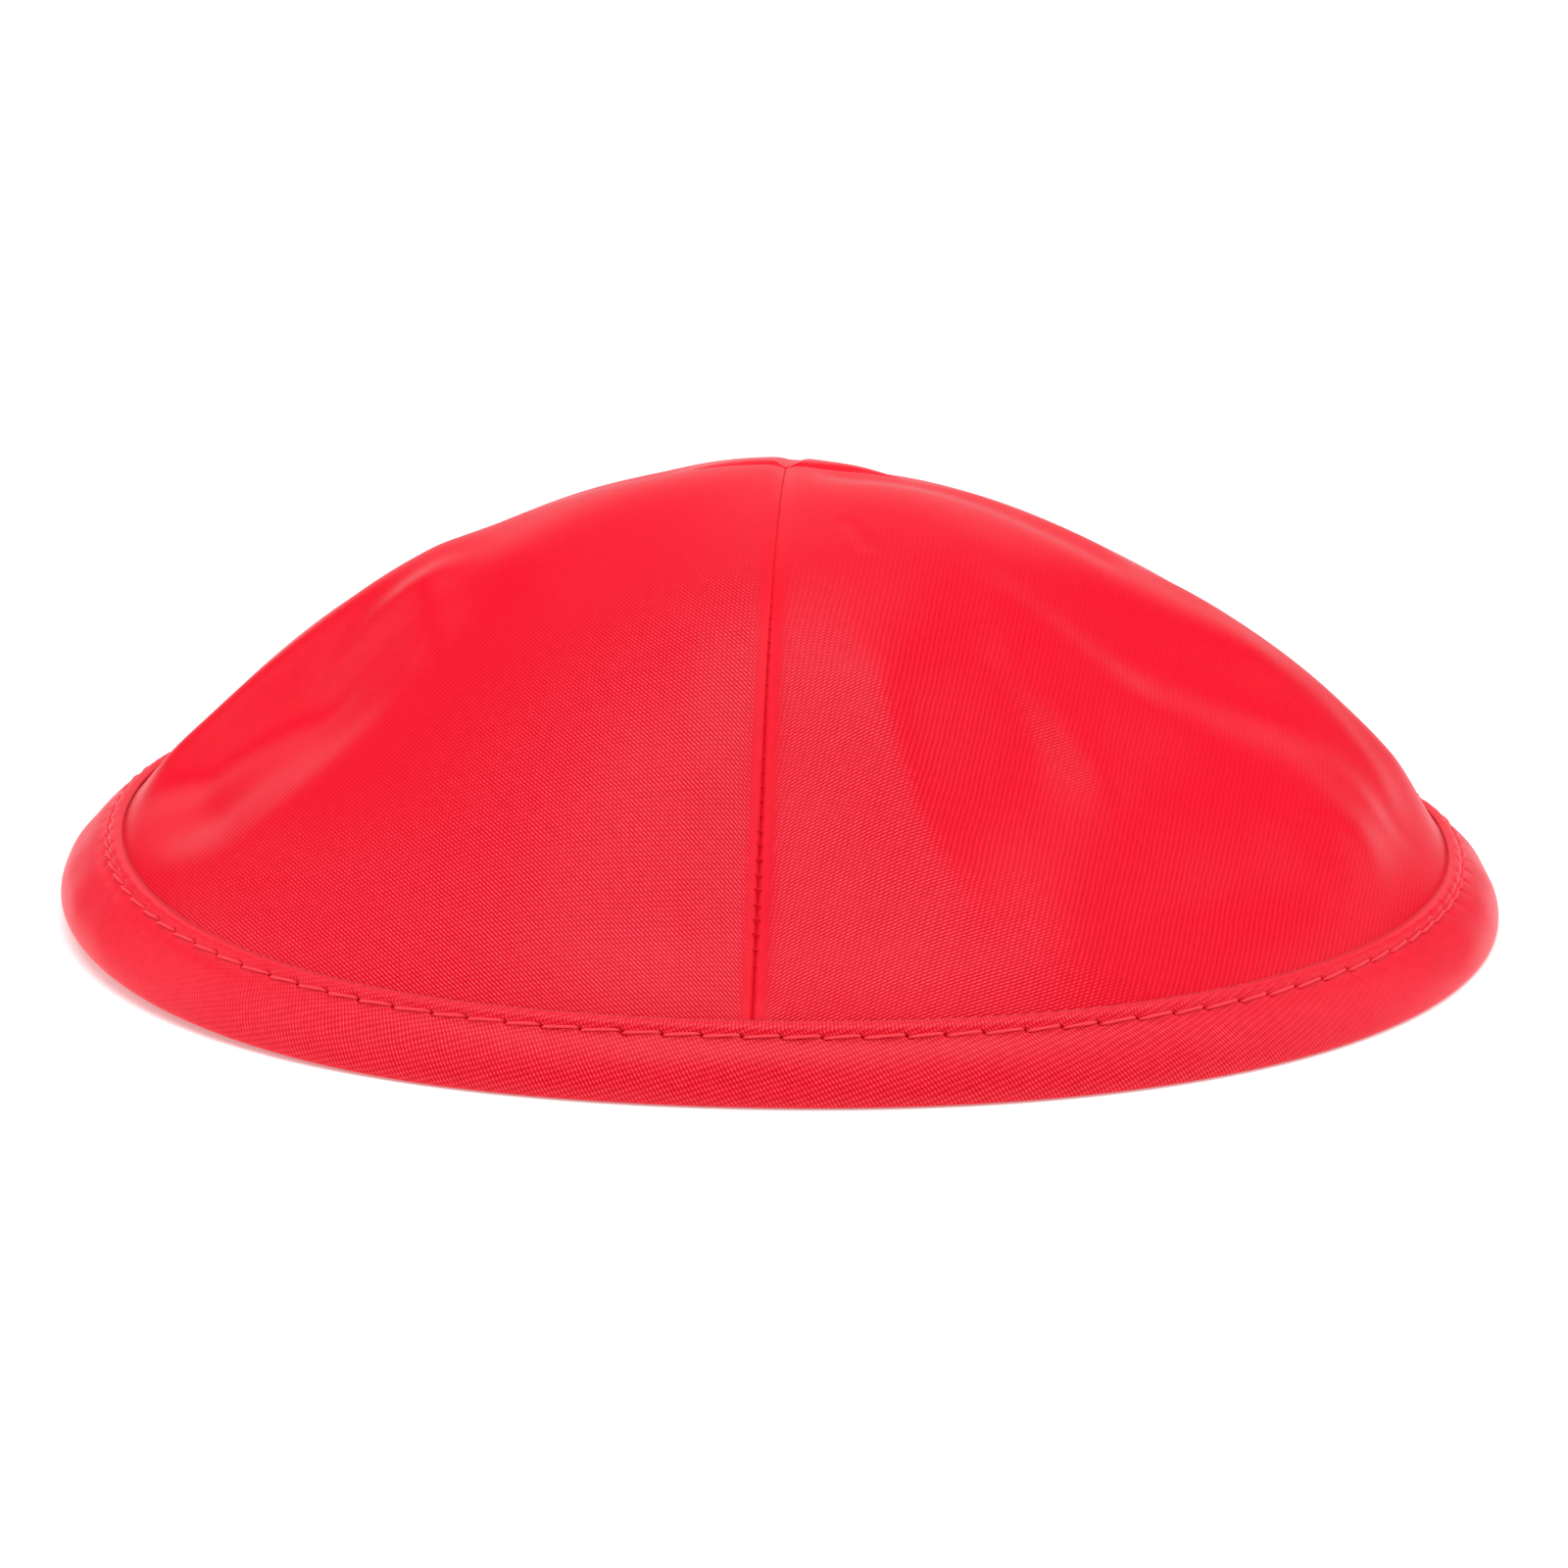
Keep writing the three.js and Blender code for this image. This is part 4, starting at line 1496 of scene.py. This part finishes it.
@dataclass
class SeamStitches:
    """The thread that shows deep in the grooves between the panels, bridging each at every stitch."""

    cap: CapForm
    thread: bpy.types.Material
    name: str = "seam_stitches"
    pitch: float = 1.85
    reach: float = 0.42
    depth: float = 0.42
    sunk: float = 0.35
    slant: float = 0.12
    radius: float = 0.10
    rings: int = 7
    sides: int = 5
    hidden_at_top: float = 0.5
    hidden_until: float = 14.0
    shown_over: float = 24.0
    deeper_at_hem: float = 0.1
    deeper_from: float = 40.0
    deeper_over: float = 20.0
    seed: int = 3

    def on_seam(self, seam: int, share: np.ndarray) -> np.ndarray:
        """Points of the crown's smooth form along one seam."""
        return self.cap.crown(np.full(len(share), float(seam)), np.full(len(share), seam), share)

    def arches(self, seam: int, chance: np.random.Generator) -> tuple[np.ndarray, np.ndarray]:
        """The middle lines of one seam's threads.

        Each is a low arch across the seam, a chosen depth under the crown's form there. They lie deeper
        near the top, where none shows.

        Args:
            seam: the seam's number.
            chance: where the uneven spacing comes from.

        Returns:
            The points in millimetres and the directions out of the cloth.
        """
        share = np.linspace(0.02, 0.985, 600)
        way = way_along(self.on_seam(seam, share))
        count = int(way[-1] / self.pitch)
        at = (np.arange(count) + 0.5 + chance.uniform(-0.08, 0.08, count)) * self.pitch
        shares = np.interp(at, way, share)
        centre = self.on_seam(seam, shares)
        down = self.on_seam(seam, shares + 0.004) - centre
        down /= np.linalg.norm(down, axis=-1, keepdims=True)
        angle = math.radians(SEAMS[seam].azimuth)
        sideways = np.array([-math.sin(angle), math.cos(angle), 0.0])
        outward = np.cross(down, sideways)
        centre = centre + outward * self.cap.fold_height(centre, FOLDS)[:, None]
        place = np.linspace(-1, 1, self.rings)
        from_top = np.hypot(centre[:, 0], centre[:, 1])[:, None]
        at_top = self.hidden_at_top * (1 - smooth((from_top - self.hidden_until) / self.shown_over))
        at_hem = self.deeper_at_hem * smooth((from_top - self.deeper_from) / self.deeper_over)
        level = -self.depth - (at_top + at_hem) - self.sunk * np.abs(place) ** 3
        paths = (
            centre[:, None]
            + sideways * (place * self.reach)[None, :, None]
            + outward[:, None] * level[:, :, None]
            + down[:, None] * (place * self.slant)[None, :, None]
        )
        return paths, np.broadcast_to(outward[:, None], paths.shape)

    def build(self) -> bpy.types.Object:
        """Make the bridging threads of all four seams as one mesh and join them to the frame.

        Returns:
            The threads.
        """
        chance = np.random.default_rng(self.seed)
        radii = np.full(self.rings, self.radius) * MM
        mesh = ClothMesh()
        for seam in range(len(SEAMS)):
            paths, outward = self.arches(seam, chance)
            tubes(mesh, self.cap.in_metres(paths), outward, radii, self.sides)
        stitches = mesh.make(self.name)
        join(stitches, [self.thread])
        return stitches


@dataclass(frozen=True)
class PhotoCamera:
    """The camera of the photograph: a long lens a little above the table, rolled by a hair."""

    elevation: float = 16.0
    roll: float = 0.40
    distance: float = 800.0
    aim: tuple[float, float, float] = (0.04, 0.0, 13.74)
    focal_pixels: float = 6956.0
    frame_pixels: float = 1600.0
    sensor: float = 36.0

    def place(self, cap: CapForm) -> bpy.types.Object:
        """Set up the camera.

        Its back axis leans up by the elevation. The right and up axes are turned by the roll about it.

        Args:
            cap: the cap, whose middle the aim is measured from.

        Returns:
            The camera.
        """
        tilt = math.radians(self.elevation)
        roll = math.radians(self.roll)
        back = np.array([0.0, -math.cos(tilt), math.sin(tilt)])
        right = np.array([1.0, 0.0, 0.0])
        up = np.cross(back, right)
        rolled_right = math.cos(roll) * right + math.sin(roll) * up
        rolled_up = -math.sin(roll) * right + math.cos(roll) * up
        data = bpy.data.cameras.new("photo_camera")
        data.sensor_width = self.sensor
        data.lens = self.focal_pixels / self.frame_pixels * self.sensor
        data.clip_start = 0.05
        data.clip_end = 20.0
        camera = put_in_scene("photo_camera", data)
        axes = Matrix(np.stack([rolled_right, rolled_up, back], axis=1).tolist())
        place = cap.in_metres(np.array(self.aim) + self.distance * back)
        camera.matrix_world = Matrix.Translation(Vector(place.tolist())) @ axes.to_4x4()
        bpy.context.scene.camera = camera
        return camera


@dataclass(frozen=True)
class SoftBox:
    """A square soft light, aimed at the cap's middle. Sizes and places in metres."""

    name: str
    place: tuple[float, float, float]
    size: float
    power: float

    def light(self) -> bpy.types.Object:
        """Make the light.

        Returns:
            The lamp.
        """
        data = bpy.data.lights.new(self.name, "AREA")
        data.shape = "SQUARE"
        data.size = self.size
        data.energy = self.power
        lamp = put_in_scene(self.name, data)
        lamp.location = self.place
        towards = Vector((0.0, 0.0, 0.02)) - Vector(self.place)
        lamp.rotation_euler = towards.to_track_quat("-Z", "Y").to_euler()
        return lamp


@dataclass(frozen=True)
class Studio:
    """A white table that glows a little, as one lit from below, with white walls and soft lights."""

    boxes: tuple[SoftBox, ...] = (
        SoftBox("left_box", (-1.13, 0.0, 0.41), 1.3, 7.9),
        SoftBox("right_box", (1.13, 0.0, 0.41), 1.3, 7.8),
        SoftBox("overhead_box", (0.0, -0.21, 1.18), 1.3, 17.4),
        SoftBox("front_box", (0.0, -0.85, 0.85), 1.3, 1.4),
        SoftBox("back_box", (0.0, 1.04, 0.60), 1.3, 3.6),
    )
    floor_size: float = 6.0
    floor_colour: tuple[float, float, float] = (0.95, 0.95, 0.95)
    floor_glow: float = 0.26
    wall_light: float = 0.01

    def build(self) -> None:
        """Make the table, the walls' light and the lamps."""
        mesh = bpy.data.meshes.new("table")
        half = self.floor_size / 2
        corners = [(-half, -half, 0), (half, -half, 0), (half, half, 0), (-half, half, 0)]
        mesh.from_pydata(corners, [], [(0, 1, 2, 3)])
        table = put_in_scene("table", mesh)
        gloss = {
            "Base Color": (*self.floor_colour, 1.0),
            "Roughness": 0.8,
            "Emission Color": (1.0, 1.0, 1.0, 1.0),
            "Emission Strength": self.floor_glow,
        }
        mesh.materials.append(start_material("white_table", gloss)[0])
        world = bpy.data.worlds.new("white_walls")
        world.use_nodes = True
        background = world.node_tree.nodes["Background"]
        background.inputs["Color"].default_value = (1.0, 1.0, 1.0, 1.0)
        background.inputs["Strength"].default_value = self.wall_light
        bpy.context.scene.world = world
        for box in self.boxes:
            box.light()
        bpy.context.scene.view_settings.view_transform = "Standard"


def main() -> None:
    """Build the cap piece by piece, then the studio round it."""
    logging.basicConfig(level=logging.INFO, format="%(message)s")
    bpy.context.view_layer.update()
    cap = CapForm()
    cap.centre_on("rim_binding")
    PhotoCamera().place(cap)
    satin = SatinFinish("red_satin").make()
    underside = SatinFinish("satin_underside", roughness=0.7, sheen=0.03, anisotropy=0.0).make()
    pieces = []
    for quarter in Quarter:
        side = quarter.name.lower()
        panel = CrownPanel(f"satin_panel_{side}", f"crown_panel_{side}", quarter, cap, satin, underside)
        pieces.append(panel.build())
    thread = ThreadFinish("red_thread").make()
    # A darker copy of the red thread for the seams: its darker colour is painted shade for thread deep in the
    # grooves.
    seam_thread_shaded = ThreadFinish("seam_thread_painted_shade", colour=(0.80, 0.008, 0.022), specular=0.08).make()
    run = StitchRun(cap)
    # A lighter copy of the red satin: the binding's higher middle, light and bright colours are painted
    # light; its rib, cross and hatch are its own weave.
    binding_satin_painted_light = SatinFinish(
        "binding_satin_painted_light",
        middle=(0.79, 0.011, 0.029),
        light=(0.93, 0.024, 0.050),
        bright=(1.0, 0.085, 0.120),
        angle=-58.0,
        cross_angle=20.0,
        contrast=1.4,
        hatch_width=2.0,
        specular=0.15,
    ).make()
    pieces.append(RimBinding(cap, run, binding_satin_painted_light).build())
    pieces.append(Topstitch(cap, run, thread).build())
    pieces.append(SeamStitches(cap, seam_thread_shaded).build())
    for piece in pieces:
        LOG.info("built %s with %d faces", piece.name, len(piece.data.polygons))
    Studio().build()


if __name__ == "__main__":
    main()
